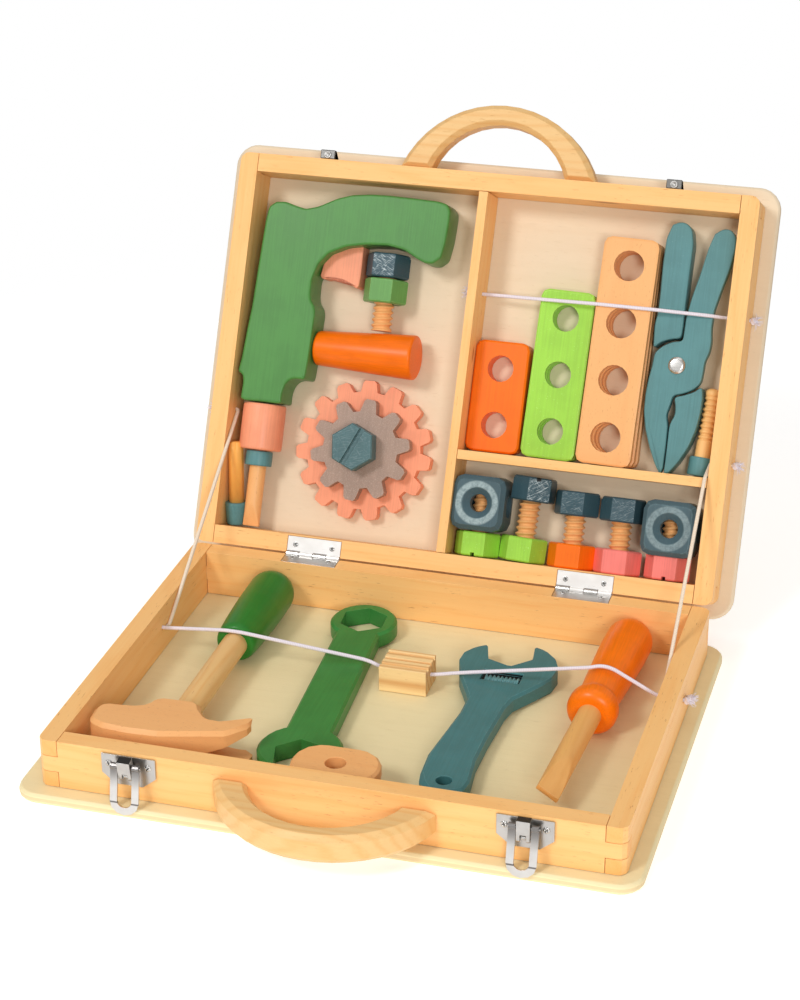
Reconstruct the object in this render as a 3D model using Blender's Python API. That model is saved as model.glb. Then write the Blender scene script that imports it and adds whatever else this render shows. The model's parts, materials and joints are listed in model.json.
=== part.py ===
"""A wooden toy tool box, open, with its tools laid in both halves."""

from math import acos, atan, cos, degrees, pi, radians, sin, sqrt, tan

import bmesh
import bpy
from mathutils import Matrix, Vector

mm = 0.001

# Case
frame_width = 290 * mm
frame_depth = 218 * mm
tray_height = 26 * mm
board_thickness = 10 * mm
panel_thickness = 5.5 * mm
panel_overhang = 8 * mm
panel_corner = 12 * mm
panel_ease = 1.2 * mm
frame_corner = 6 * mm
finger_count = 3
open_angle = 116.4  # degrees between the two rims
divider_x = -4.7 * mm  # middle of the lid divider
divider_thickness = 5 * mm
shelf_u = 64.5 * mm  # middle of the lid shelf, from the hinge edge
shelf_thickness = 5.2 * mm
shelf_top_u = shelf_u + shelf_thickness / 2

# Clearances
seam = 0.3 * mm  # between pieces that touch
overrun = 2 * mm  # how far a cut goes past the face
running_gap = 0.3 * mm  # round a pin or shaft
gear_gap = 0.4 * mm

# Bow handles
bow_half_chord = 54 * mm
bow_reach = 38 * mm
bow_inner_half_chord = 37 * mm
bow_inner_reach = 27 * mm
bow_thickness = 13 * mm
bow_height = 7 * mm  # under the bow, above the panel
bow_ease = 2.6 * mm

# Hinges
hinge_x = 76.2 * mm
hinge_length = 30.5 * mm
hinge_leaf_width = 9 * mm
hinge_leaf_thickness = 0.8 * mm
hinge_leaf_drop = 0.1 * mm  # leaf face below the rim
hinge_setback = 0.6 * mm  # pin axis behind the back faces
hinge_barrel_radius = 1.5 * mm
hinge_pin_radius = 0.6 * mm
hinge_knuckles = 4

# Draw latches
latch_x = 97.5 * mm
latch_half_width = 13.75 * mm
latch_top = 24.5 * mm
latch_shoulder = 14 * mm
latch_bottom = 8.5 * mm
latch_foot_half_width = 7 * mm
latch_plate_thickness = 0.9 * mm
lever_half_width = 3.3 * mm
lever_half_thickness = 2.2 * mm
lever_top = 25.5 * mm
lever_pivot_height = 15.7 * mm
lever_pivot_out = 4 * mm
lever_slot_half_width = 1.5 * mm
lug_half_width = 1.2 * mm
lug_radius = 1.2 * mm
latch_pin_radius = 0.6 * mm
stud_rise = 5.5 * mm  # bail stud above the lever pin
stud_radius = 0.7 * mm
stud_end = 0.5 * mm  # past the bail
bail_strip = 3.7 * mm
bail_half_gap = 3.65 * mm
bail_length = 24.5 * mm
bail_thickness = 1 * mm
bail_eye_radius = 1.7 * mm
bail_eye_inset = 0.1 * mm
bail_bow_depth = 6.5 * mm
bail_rest_gap = 0.5 * mm
left_lever_tilt = 12  # degrees
keeper_width = 7.5 * mm
keeper_thickness = 0.9 * mm
keeper_low = 14.5 * mm
keeper_high = 23.5 * mm
keeper_out = 4.2 * mm
keeper_lip = 2.6 * mm

# Cords
cord_radius = 1 * mm
cord_hole_radius = 1.5 * mm
cord_bend = 4 * mm
stay_bend = 2.2 * mm
knot_radius = 2.3 * mm
knot_gap = 0.5 * mm
stay_base_y = 146.3 * mm
stay_base_h = 12 * mm
stay_lid_u = 75.5 * mm
stay_lid_h = 12 * mm
stay_wall_gap = 1.6 * mm
base_elastic_y = 140.8 * mm
elastic_on_shaft_y = 134.4 * mm
base_elastic_h = 14 * mm
cord_dip = 2.5 * mm  # lower beside the shaft than over it
lid_elastic_h = 10 * mm
cord_lead = 3 * mm  # straight run into a hole
cord_lift = 1.3 * mm  # cord centre above what it lies on

# Base tray tools
block_width = 25.4 * mm
block_depth = 20 * mm
block_height = 14 * mm
block_x = 0.4 * mm
block_y = 141 * mm
block_cord_h = 8 * mm
block_groove_width = 2 * mm
block_groove_depth = 1.5 * mm
block_groove_shares = (0.22, 0.52, 0.85)

hammer_x = -92.6 * mm
hammer_axis_h = 12.9 * mm
hammer_head_thickness = 25 * mm
hammer_head_ease = 2 * mm
hammer_head_length = 80 * mm
hammer_head_depth = 35.3 * mm
hammer_head_x = -130.1 * mm
hammer_head_y = 20.8 * mm
hammer_claw_gap = 15 * mm
hammer_claw_root = 22 * mm  # notch root from the claw tip
hammer_shaft_radius = 6.7 * mm
hammer_shaft_start = 31 * mm
hammer_grip_start = 136 * mm
hammer_grip_end = 207 * mm
hammer_grip_radius = 12.6 * mm
hammer_grip_nose = 9 * mm
hammer_grip_lip = 1.5 * mm

wrench_thickness = 9.5 * mm
ring_x = -36.8 * mm
ring_y = 185.2 * mm
ring_radius = 18 * mm
ring_across_flats = 22.9 * mm
ring_to_head = 133.4 * mm
ring_wrench_turn = 3.4  # degrees
shank_half_width = 12 * mm
shank_end_half_width = 11.6 * mm
open_head_radius = 21.5 * mm
mouth_across_flats = 24.2 * mm
mouth_offset = 6.2 * mm
mouth_turn = 10.6  # degrees
wrench_ease = 1.4 * mm

plate_width = 44 * mm
plate_depth = 31.6 * mm
plate_thickness = 8.5 * mm
plate_corner = 15 * mm
plate_ease = 1.5 * mm
plate_hole_radius = 5.2 * mm
plate_x = -3.4 * mm
plate_y = 29.6 * mm

adjustable_x = 23.6 * mm
adjustable_y = 31.7 * mm
adjustable_width = 52 * mm
adjustable_length = 148 * mm
adjustable_hole_radius = 4 * mm
adjustable_window_width = 15.5 * mm
adjustable_window_height = 6 * mm
adjustable_window_depth = 2 * mm

driver_axis_h = 13.3 * mm
driver_tip_x = 98.6 * mm
driver_tip_y = 38.5 * mm
driver_turn = 2.9  # degrees
driver_shaft_radius = 4.9 * mm
driver_shaft_length = 76 * mm
driver_blade_length = 24 * mm
driver_blade_thickness = 2.6 * mm
driver_collar_length = 15 * mm
driver_collar_radius = 13 * mm
driver_neck_radius = 10.6 * mm
driver_neck_length = 6 * mm
driver_handle_radius = 12.4 * mm
driver_length = 168 * mm
driver_nose = 10 * mm

# Lid tools, left compartment
drill_x = -133.7 * mm
drill_u = 80.6 * mm
drill_length = 110.6 * mm
drill_depth = 120.9 * mm
drill_thickness = 22 * mm
drill_gap = 0.6 * mm
drill_ease = 3 * mm
trigger_thickness = 13 * mm
trigger_ease = 1 * mm
chuck_x = -118.3 * mm
chuck_h = 12.3 * mm
chuck_radius = 12 * mm
chuck_length = 24.3 * mm
chuck_collar_radius = 7.5 * mm
chuck_collar_length = 8.5 * mm
chuck_neck_radius = 4 * mm
chuck_neck_length = 1.5 * mm
bit_radius = 4.4 * mm
bit_length = 34.5 * mm
bit_blade_length = 12 * mm
bit_blade_thickness = 2.2 * mm

spare_bit_x = -128.5 * mm
spare_bit_lean = 2.9  # degrees to the side
spare_bit_tilt = 14  # degrees off the floor
spare_ferrule_radius = 5.6 * mm
spare_ferrule_length = 11.8 * mm
spare_dowel_radius = 4.3 * mm
spare_bit_length = 43 * mm
spare_cross_width = 2 * mm
spare_cross_depth = 3 * mm

hex_across_flats = 21.6 * mm
hex_length = 13.3 * mm
hex_ease = 0.8 * mm
shaft_radius = 5.2 * mm
slot_width = 2 * mm
slot_depth = 1.8 * mm
loose_bolt_x = -57 * mm
loose_bolt_top = 170 * mm
loose_shaft_length = 29.3 * mm
nut_gap = 0.7 * mm

cylinder_x = -92.6 * mm
cylinder_u = 114.5 * mm
cylinder_length = 58 * mm
cylinder_small_radius = 9.6 * mm
cylinder_large_radius = 12.5 * mm
cylinder_ease = 0.8 * mm

gear_x = -60 * mm
gear_u = 60.6 * mm
gear_thickness = 7 * mm
large_gear_teeth = 15
large_gear_radius = 39 * mm
large_gear_root = 32.8 * mm
large_gear_tip = 7.6 * mm
large_gear_base = 9.6 * mm
large_gear_turn = 91  # degrees, direction of one tooth
small_gear_teeth = 10
small_gear_radius = 28.5 * mm
small_gear_root = 21.4 * mm
small_gear_tip = 6.8 * mm
small_gear_base = 9.4 * mm
small_gear_turn = 84  # degrees
gear_ease = 1.2 * mm
gear_bolt_across_flats = 22.8 * mm
gear_bolt_head = 10.4 * mm
gear_bolt_turn = 35.8  # degrees, direction of one corner
gear_slot_turn = 65  # degrees

# Lid tools, right compartment
bar_width = 30 * mm
bar_pitch = 31 * mm
bar_corner = 4 * mm
bar_ease = 1 * mm
bar_hole_radius = 7.3 * mm
wood_bar_hole_radius = 8.3 * mm
bar_gap = 0.6 * mm
bar_floor_u = shelf_top_u + bar_gap
orange_bar_x = 13.2 * mm
orange_bar_thickness = 12 * mm
green_bar_x = 44.4 * mm
green_bar_thickness = 12 * mm
green_bar_lean = 1.1  # degrees
wood_bar_x = 76.2 * mm
wood_bar_thickness = 18 * mm
wood_bar_lean = 1  # degrees
elastic_above_bar = 24.8 * mm  # past the end of the bar with two holes
lid_elastic_u = bar_floor_u + bar_width + bar_pitch + elastic_above_bar

pliers_x = 109.5 * mm
pliers_low_gap = 1.18 * mm  # jaw tips above the shelf
pliers_thickness = 13.3 * mm
pliers_disc_radius = 14.3 * mm
pliers_rivet_radius = 3.5 * mm
pliers_dome_radius = 4.5 * mm
pliers_dome_height = 1 * mm
pliers_ease = 1.4 * mm
pliers_span = 136 * mm  # jaw tip to handle end
pliers_tip_share = 0.42  # rivet above the jaw tips
pliers_u = shelf_top_u + pliers_low_gap + pliers_span * pliers_tip_share
pliers_width = 40 * mm

peg_x = 127.4 * mm
peg_gap = 0.4 * mm
peg_u = shelf_top_u + peg_gap
peg_lean = 3.2  # degrees
peg_cap_radius = 6.6 * mm
peg_cap_length = 7.6 * mm
peg_radius = 4.2 * mm
peg_length = 47.5 * mm

# Lid tools, bottom compartment
row_u = 10.4 * mm
cube_width = 27.6 * mm
cube_depth = 25 * mm
cube_corner = 5 * mm
cube_ease = 2.4 * mm
cube_bore_radius = 6 * mm
cube_face_bore_radius = 4.6 * mm
cube_cone_radius = 8.1 * mm
cube_cone_depth = 3 * mm
left_cube_x = 11.9 * mm
left_cube_u = 25.6 * mm
right_cube_x = 117.2 * mm
right_cube_u = 24.1 * mm
cube_shaft_top = 3 * mm  # shaft end below the top of the cube
bolt_1_x = 37.35 * mm
bolt_1_length = 46.2 * mm
bolt_1_lean = -2.2  # degrees
bolt_2_x = 64.4 * mm
bolt_2_length = 41.6 * mm
bolt_3_x = 89.9 * mm
bolt_3_length = 41.1 * mm

# Outlines, as shares of the length and width of their piece
drill_shares = (
    (0.04, 0.88), (0.07, 0.92), (0.12, 0.93), (0.17, 0.93), (0.25, 0.91), (0.33, 0.94), (0.4, 0.96),
    (0.47, 0.99), (0.54, 1.0), (0.73, 1.0), (0.9, 0.99), (0.97, 0.98), (1.0, 0.96), (1.0, 0.89),
    (0.97, 0.74), (0.96, 0.73), (0.92, 0.72), (0.87, 0.74), (0.8, 0.76), (0.69, 0.77), (0.57, 0.77),
    (0.45, 0.76), (0.39, 0.73), (0.35, 0.68), (0.33, 0.63), (0.32, 0.57), (0.33, 0.51), (0.35, 0.48),
    (0.37, 0.45), (0.36, 0.37), (0.35, 0.14), (0.29, 0.13), (0.26, 0.12), (0.24, 0.1), (0.24, 0.01),
    (0.03, 0.0), (0.02, 0.12), (0.0, 0.14), (0.0, 0.25), (0.02, 0.47), (0.02, 0.68),
)
trigger_shares = (
    (0.38, 0.61), (0.43, 0.61), (0.49, 0.61), (0.53, 0.59), (0.56, 0.59), (0.57, 0.69), (0.56, 0.76),
    (0.46, 0.75), (0.4, 0.72), (0.36, 0.67), (0.34, 0.62),
)
hammer_shares = (
    (0.01, 0.2), (0.0, 0.5), (0.04, 0.64), (0.13, 0.65), (0.23, 0.68), (0.29, 0.75), (0.31, 0.9), (0.36, 0.98),
    (0.6, 1.0), (0.64, 0.8), (0.71, 0.61), (0.81, 0.6), (0.89, 0.66), (0.97, 0.77), (1.0, 0.59), (0.88, 0.27),
    (0.73, 0.18), (0.48, 0.02), (0.29, 0.0), (0.12, 0.03), (0.04, 0.11),
)
adjustable_shares = (
    (0.01, 0.84), (0.01, 0.9), (0.08, 0.95), (0.21, 0.97), (0.28, 0.88), (0.52, 0.85), (0.71, 0.91),
    (0.69, 1.0), (0.82, 0.99), (0.94, 0.94), (1.0, 0.88), (0.98, 0.81), (0.9, 0.75), (0.8, 0.69), (0.71, 0.64),
    (0.67, 0.57), (0.66, 0.49), (0.63, 0.38), (0.6, 0.22), (0.62, 0.09), (0.59, 0.04), (0.53, 0.01), (0.43, 0.0),
    (0.34, 0.01), (0.26, 0.05), (0.23, 0.1), (0.2, 0.22), (0.24, 0.38), (0.27, 0.51), (0.27, 0.61),
    (0.16, 0.69), (0.08, 0.75),
)
adjustable_hole_share = (0.45, 0.07)
adjustable_window_share = (0.45, 0.8)
# Pliers shares are of their width and span, from the rivet
left_grip_shares = (
    (0.07, 0.1), (0.04, 0.12), (0.04, 0.21), (0.02, 0.39), (0.01, 0.51), (-0.08, 0.56), (-0.23, 0.57),
    (-0.37, 0.53), (-0.37, 0.49), (-0.36, 0.38), (-0.29, 0.25), (-0.29, 0.16), (-0.34, 0.09),
)
right_jaw_shares = (
    (0.18, -0.08), (0.02, -0.11), (0.0, -0.12), (0.04, -0.17), (-0.01, -0.21), (-0.02, -0.42), (0.17, -0.39),
    (0.33, -0.3), (0.38, -0.2), (0.38, -0.11), (0.33, -0.06),
)
right_grip_shares = (
    (0.06, 0.1), (0.08, 0.22), (0.15, 0.34), (0.24, 0.46), (0.29, 0.53), (0.41, 0.56), (0.56, 0.54),
    (0.59, 0.5), (0.55, 0.41), (0.44, 0.28), (0.4, 0.19), (0.42, 0.11), (0.37, 0.04),
)
left_jaw_shares = (
    (-0.33, -0.05), (-0.34, -0.1), (-0.35, -0.2), (-0.3, -0.31), (-0.16, -0.41), (-0.05, -0.42),
    (-0.03, -0.22), (-0.08, -0.18), (-0.03, -0.13), (-0.01, -0.1), (-0.01, -0.07),
)

# Numbers of sides
fine_sides = 28
round_sides = 18
small_sides = 12
pin_sides = 10


def srgb(red, green, blue):
    """The linear colour of three screen values from 0 to 255."""
    scale = 255
    knee = 0.04045
    low_slope = 12.92
    offset = 0.055
    power = 2.4
    screen = (red / scale, green / scale, blue / scale)
    return tuple(
        value / low_slope if value <= knee else ((value + offset) / (1 + offset)) ** power for value in screen
    )


pine = srgb(240, 190, 120)
ply = srgb(236, 220, 190)
beech = srgb(245, 178, 120)
tool_green = srgb(72, 138, 72)
drill_green = srgb(95, 155, 90)
bright_green = srgb(165, 228, 105)
orange = srgb(250, 115, 20)
pink = srgb(248, 145, 120)
gear_grey = srgb(150, 130, 125)
teal = srgb(70, 112, 115)
dark_teal = srgb(48, 80, 85)
nickel = srgb(200, 200, 198)
cord_white = srgb(238, 234, 240)


def unit(vector):
    return vector / vector.length


def anticlockwise(outline):
    twice_area = sum(
        outline[i - 1][0] * outline[i][1] - outline[i][0] * outline[i - 1][1] for i in range(len(outline))
    )
    return list(outline) if twice_area > 0 else list(reversed(outline))


def inset(outline, distance):
    """The anticlockwise outline moved inwards, with its corners mitred."""
    moved = []
    for i, here in enumerate(outline):
        here = Vector(here)
        into = unit(here - Vector(outline[i - 1]))
        out = unit(Vector(outline[(i + 1) % len(outline)]) - here)
        left_in = Vector((-into.y, into.x))
        left_out = Vector((-out.y, out.x))
        mitre = (left_in + left_out) / (1 + left_in.dot(left_out))
        moved.append(tuple(here + mitre * distance))
    return moved


def filleted(corners, radius, steps=3, share=0.45):
    """The outline with each corner rounded. A corner may carry its own radius as a third value."""
    points = [Vector(corner[:2]) for corner in corners]
    rounded = []
    for i, point in enumerate(points):
        own = corners[i][2] if len(corners[i]) > 2 else radius
        to_before = points[i - 1] - point
        to_after = points[(i + 1) % len(points)] - point
        half = acos(max(-1, min(1, unit(to_before).dot(unit(to_after))))) / 2
        if own == 0 or degrees(half) > 84:
            rounded.append(tuple(point))
            continue
        reach = min(own / tan(half), share * to_before.length, share * to_after.length)
        start = point + unit(to_before) * reach
        end = point + unit(to_after) * reach
        centre = point + unit(unit(to_before) + unit(to_after)) * (reach / cos(half))
        for step in range(steps + 1):
            way = (start - centre) * (1 - step / steps) + (end - centre) * (step / steps)
            rounded.append(tuple(centre + unit(way) * (start - centre).length))
    return rounded


def circle(radius, sides, centre=(0, 0), turn=0):
    return [
        (centre[0] + radius * cos(angle), centre[1] + radius * sin(angle))
        for angle in (2 * pi * i / sides + turn for i in range(sides))
    ]


def hexagon(across_flats, turn=0):
    return circle(across_flats / sqrt(3), 6, turn=turn)


def rectangle(low_x, high_x, low_y, high_y):
    return [(low_x, low_y), (high_x, low_y), (high_x, high_y), (low_x, high_y)]


def scaled(shares, width, length):
    return [(width * x, length * y) for x, y in shares]


def closed_body(name, rings):
    """A closed mesh from rings of points, one above the other. A ring of one point is a tip."""
    shape = bmesh.new()
    levels = [[shape.verts.new(point) for point in ring] for ring in rings]
    for lower, upper in zip(levels, levels[1:]):
        count = max(len(lower), len(upper))
        for i in range(count):
            j = (i + 1) % count
            if len(lower) == 1:
                shape.faces.new((lower[0], upper[j], upper[i]))
            elif len(upper) == 1:
                shape.faces.new((lower[i], lower[j], upper[0]))
            else:
                shape.faces.new((lower[i], lower[j], upper[j], upper[i]))
    if len(levels[0]) > 1:
        shape.faces.new(list(reversed(levels[0])))
    if len(levels[-1]) > 1:
        shape.faces.new(levels[-1])
    bmesh.ops.recalc_face_normals(shape, faces=shape.faces)
    mesh = bpy.data.meshes.new(name)
    shape.to_mesh(mesh)
    shape.free()
    body = bpy.data.objects.new(name, mesh)
    bpy.context.scene.collection.objects.link(body)
    return body


def prism(name, outline, low, high, ease=0, steps=1):
    """The outline from low to high, with both ends eased."""
    outline = anticlockwise(outline)
    if not ease:
        return closed_body(name, [[(x, y, low) for x, y in outline], [(x, y, high) for x, y in outline]])
    below = []
    for step in range(steps + 1):
        angle = pi / 2 * step / steps
        ring = inset(outline, ease * (1 - sin(angle)))
        below.append((ring, ease * (1 - cos(angle))))
    rings = [[(x, y, low + rise) for x, y in ring] for ring, rise in below]
    rings += [[(x, y, high - rise) for x, y in ring] for ring, rise in reversed(below)]
    return closed_body(name, rings)


def turned(name, profile, sides):
    """A profile of radius and height, turned about the local Z axis."""
    rings = []
    for radius, height in profile:
        ring = circle(radius, sides) if radius else [(0, 0)]
        rings.append([(x, y, height) for x, y in ring])
    return closed_body(name, rings)


def box(name, low, high):
    return prism(name, rectangle(low[0], high[0], low[1], high[1]), low[2], high[2])


def moved(body, offset=(0, 0, 0), turn=(0, 0, 0)):
    """Turns the mesh about X, Y and Z in that order, in degrees, then shifts it."""
    spin = Matrix.Identity(4)
    for angle, axis in zip(turn, "XYZ"):
        spin = Matrix.Rotation(radians(angle), 4, axis) @ spin
    body.data.transform(Matrix.Translation(offset) @ spin)
    return body


def rod(name, radius, start_x, end_x, y, height, sides=pin_sides):
    """A round bar along X."""
    bar = prism(name, circle(radius, sides), start_x, end_x)
    return moved(bar, (0, y, height), (0, 90, 0))


def combined(body, others, operation):
    for other in others:
        change = body.modifiers.new(operation, "BOOLEAN")
        change.operation = operation
        change.solver = "EXACT"
        change.object = other
        bpy.context.view_layer.update()
        graph = bpy.context.evaluated_depsgraph_get()
        mesh = bpy.data.meshes.new_from_object(body.evaluated_get(graph))
        body.modifiers.remove(change)
        mesh.name = body.name
        body.data = mesh
        bpy.data.objects.remove(other)
    return body


def cut(body, *cutters):
    return combined(body, cutters, "DIFFERENCE")


def fused(body, *others):
    return combined(body, others, "UNION")


def finished(body, colour, parent, location=(0, 0, 0), turn=(0, 0, 0), roughness=0.5, metallic=0):
    """Gives the piece its material and its place."""
    material = bpy.data.materials.new(body.name + "_material")
    material.use_nodes = True
    surface = material.node_tree.nodes["Principled BSDF"]
    surface.inputs["Base Color"].default_value = (*colour, 1)
    surface.inputs["Roughness"].default_value = roughness
    surface.inputs["Metallic"].default_value = metallic
    body.data.materials.clear()
    body.data.materials.append(material)
    body.parent = parent
    body.location = location
    body.rotation_euler = [radians(angle) for angle in turn]
    if body.type == "MESH":
        body.data.shade_smooth()
        body.data.set_sharp_from_angle(angle=radians(32))
    return body


def marker(name, parent=None, location=(0, 0, 0), turn=(0, 0, 0)):
    empty = bpy.data.objects.new(name, None)
    bpy.context.scene.collection.objects.link(empty)
    empty.parent = parent
    empty.location = location
    empty.rotation_euler = [radians(angle) for angle in turn]
    return empty


for leftover in list(bpy.data.objects):
    bpy.data.objects.remove(leftover, do_unlink=True)

# Two trays share one set of coordinates: x from the middle, y (u in the lid) across, h above the panel
half_width = frame_width / 2
inner_half_width = half_width - board_thickness
hinge_line_h = tray_height + seam / 2
base = marker("base", None, (0, -frame_depth / 2, panel_thickness))
lid_axis = marker("lid_axis", base, (0, frame_depth + hinge_setback, hinge_line_h), (180 - open_angle, 0, 0))
lid = marker("lid", lid_axis, (0, hinge_setback, -hinge_line_h))


def on_base(x, u, h):
    """A point of the lid, given in the base tray's coordinates."""
    angle = radians(180 - open_angle)
    across = u + hinge_setback
    above = h - hinge_line_h
    return (
        x,
        frame_depth + hinge_setback + across * cos(angle) - above * sin(angle),
        hinge_line_h + across * sin(angle) + above * cos(angle),
    )


# Panels
def panel(name, parent):
    corners = rectangle(
        -half_width - panel_overhang,
        half_width + panel_overhang,
        -panel_overhang,
        frame_depth + panel_overhang,
    )
    sheet = prism(name, filleted(corners, panel_corner, 6), -panel_thickness, 0, panel_ease)
    return finished(sheet, ply, parent)


panel("base_panel", base)
panel("lid_panel", lid)

# Boards with finger joints
finger = tray_height / finger_count


def long_board(name, low_side):
    """The front or back board: its middle finger reaches the corner."""
    near = 0 if low_side else frame_depth - board_thickness
    far = near + board_thickness
    round_low = frame_corner if low_side else 0
    round_high = 0 if low_side else frame_corner
    corners = [
        (-half_width, near, round_low),
        (half_width, near, round_low),
        (half_width, far, round_high),
        (-half_width, far, round_high),
    ]
    board = prism(name, filleted(corners, 0), seam, tray_height)
    for side in (-1, 1):
        start, end = sorted((side * (inner_half_width - seam), side * (half_width + overrun)))
        for low, high in ((-overrun, finger + seam / 2), (2 * finger - seam / 2, tray_height + overrun)):
            cut(board, box("notch", (start, near - overrun, low), (end, far + overrun, high)))
    return board


def side_board(name, side, holes):
    """The left or right board: its top and bottom fingers reach the corners."""
    outer = side * half_width
    inner = side * inner_half_width
    corners = [
        (inner, 0, 0),
        (outer, 0, frame_corner),
        (outer, frame_depth, frame_corner),
        (inner, frame_depth, 0),
    ]
    board = prism(name, filleted(corners, 0), seam, tray_height)
    low = min(inner, outer) - overrun
    high = max(inner, outer) + overrun
    shoulder = board_thickness + seam
    for start, end in ((-overrun, shoulder), (frame_depth - shoulder, frame_depth + overrun)):
        cut(board, box("notch", (low, start, finger - seam / 2), (high, end, 2 * finger + seam / 2)))
    for y, height in holes:
        cut(board, rod("hole", cord_hole_radius, low, high, y, height))
    return board


def hinge_pockets(edge, inward):
    """Cutters for the hinge leaves and barrels in the board at this edge."""
    pockets = []
    leaf_floor = tray_height - hinge_leaf_drop - hinge_leaf_thickness - seam
    barrel_floor = tray_height - hinge_barrel_radius - running_gap
    leaf_reach = edge + inward * (hinge_leaf_width + seam)
    barrel_reach = edge + inward * (hinge_barrel_radius + running_gap - hinge_setback + seam)
    outside = edge - inward * overrun
    for side in (-1, 1):
        low_x = side * hinge_x - hinge_length / 2 - seam
        high_x = side * hinge_x + hinge_length / 2 + seam
        for reach, floor in ((leaf_reach, leaf_floor), (barrel_reach, barrel_floor)):
            near, far = sorted((outside, reach))
            pockets.append(box("pocket", (low_x, near, floor), (high_x, far, tray_height + overrun)))
    return pockets


base_holes = [(stay_base_y, stay_base_h), (base_elastic_y, base_elastic_h)]
finished(long_board("base_front_board", True), pine, base)
finished(cut(long_board("base_back_board", False), *hinge_pockets(frame_depth, -1)), pine, base)
finished(side_board("base_left_board", -1, base_holes), pine, base)
finished(side_board("base_right_board", 1, base_holes), pine, base)
finished(cut(long_board("lid_back_board", True), *hinge_pockets(0, 1)), pine, lid)
finished(long_board("lid_front_board", False), pine, lid)
finished(side_board("lid_left_board", -1, [(stay_lid_u, stay_lid_h)]), pine, lid)
finished(
    side_board("lid_right_board", 1, [(stay_lid_u, stay_lid_h), (lid_elastic_u, lid_elastic_h)]), pine, lid
)

# Divider and shelf of the lid
divider_left = divider_x - divider_thickness / 2
divider_right = divider_x + divider_thickness / 2
shelf_low = shelf_u - shelf_thickness / 2
shelf_high = shelf_top_u
divider = box(
    "lid_divider",
    (divider_left, board_thickness + seam, seam),
    (divider_right, frame_depth - board_thickness - seam, tray_height),
)
cut(
    divider,
    rod("hole", cord_hole_radius, divider_left - overrun, divider_right + overrun, lid_elastic_u, lid_elastic_h),
)
finished(divider, pine, lid)
shelf = box("lid_shelf", (divider_right + seam, shelf_low, seam), (inner_half_width - seam, shelf_high, tray_height))
finished(shelf, pine, lid)


# Bow handles
def arc_through(half_chord, reach, sides, from_left):
    """Points on the arc through both feet and its top, from one foot to the other."""
    radius = (half_chord**2 + reach**2) / (2 * reach)
    centre = reach - radius
    start = acos(-centre / radius) if centre < 0 else pi - acos(centre / radius)
    points = []
    for i in range(sides + 1):
        angle = (i / sides * 2 - 1) * start * (1 if from_left else -1)
        points.append((radius * sin(angle), centre + radius * cos(angle)))
    return points


def bow(name):
    outer = arc_through(bow_half_chord, bow_reach, fine_sides // 2 + 4, True)
    inner = arc_through(bow_inner_half_chord, bow_inner_reach, fine_sides // 2, False)
    return prism(name, outer + inner, 0, bow_thickness, bow_ease)


finished(bow("base_handle"), pine, base, (0, -seam, bow_height), (0, 0, 180))
finished(bow("lid_handle"), pine, lid, (0, frame_depth + seam, bow_height))

# Hinges
knuckle_length = (hinge_length - (hinge_knuckles - 1) * seam) / hinge_knuckles


def hinge_leaf(name, middle_x, edge, inward, first, with_pin):
    """One leaf with every second knuckle, the leaf lying inward from its edge of the tray."""
    axis_y = edge - inward * hinge_setback
    near, far = sorted((axis_y, edge + inward * hinge_leaf_width))
    top = tray_height - hinge_leaf_drop
    left = middle_x - hinge_length / 2
    leaf = box(name, (left, near, top - hinge_leaf_thickness), (left + hinge_length, far, top))
    knuckles = []
    for i in range(hinge_knuckles):
        start = left + i * (knuckle_length + seam)
        if i % 2 == first:
            knuckles.append((start, start + knuckle_length))
        else:
            room = hinge_barrel_radius + running_gap
            cut(leaf, rod("room", room, start - seam, start + knuckle_length + seam, axis_y, hinge_line_h))
    for start, end in knuckles:
        fused(leaf, rod("knuckle", hinge_barrel_radius, start, end, axis_y, hinge_line_h))
    if with_pin:
        fused(leaf, rod("pin", hinge_pin_radius, left + seam, left + hinge_length, axis_y, hinge_line_h))
    else:
        bore = hinge_pin_radius + running_gap
        cut(leaf, rod("bore", bore, left - overrun, left + hinge_length + overrun, axis_y, hinge_line_h))
    return leaf


for side, middle_x in (("left", -hinge_x), ("right", hinge_x)):
    leaf = hinge_leaf(f"{side}_hinge_base_leaf", middle_x, frame_depth, -1, 0, True)
    finished(leaf, nickel, base, roughness=0.3, metallic=1)
    leaf = hinge_leaf(f"{side}_hinge_lid_leaf", middle_x, 0, 1, 1, False)
    finished(leaf, nickel, lid, roughness=0.3, metallic=1)

# Draw latches: a plate with a lug and pin, a lever on the pin, and a bail on the lever's stud
latch_outline = [
    (-latch_half_width, latch_shoulder),
    (-latch_foot_half_width, latch_bottom),
    (latch_foot_half_width, latch_bottom),
    (latch_half_width, latch_shoulder),
    (latch_half_width, latch_top),
    (-latch_half_width, latch_top),
]
bail_half_width = bail_half_gap + bail_strip
bail_shoulder = bail_length - bail_bow_depth


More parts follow.
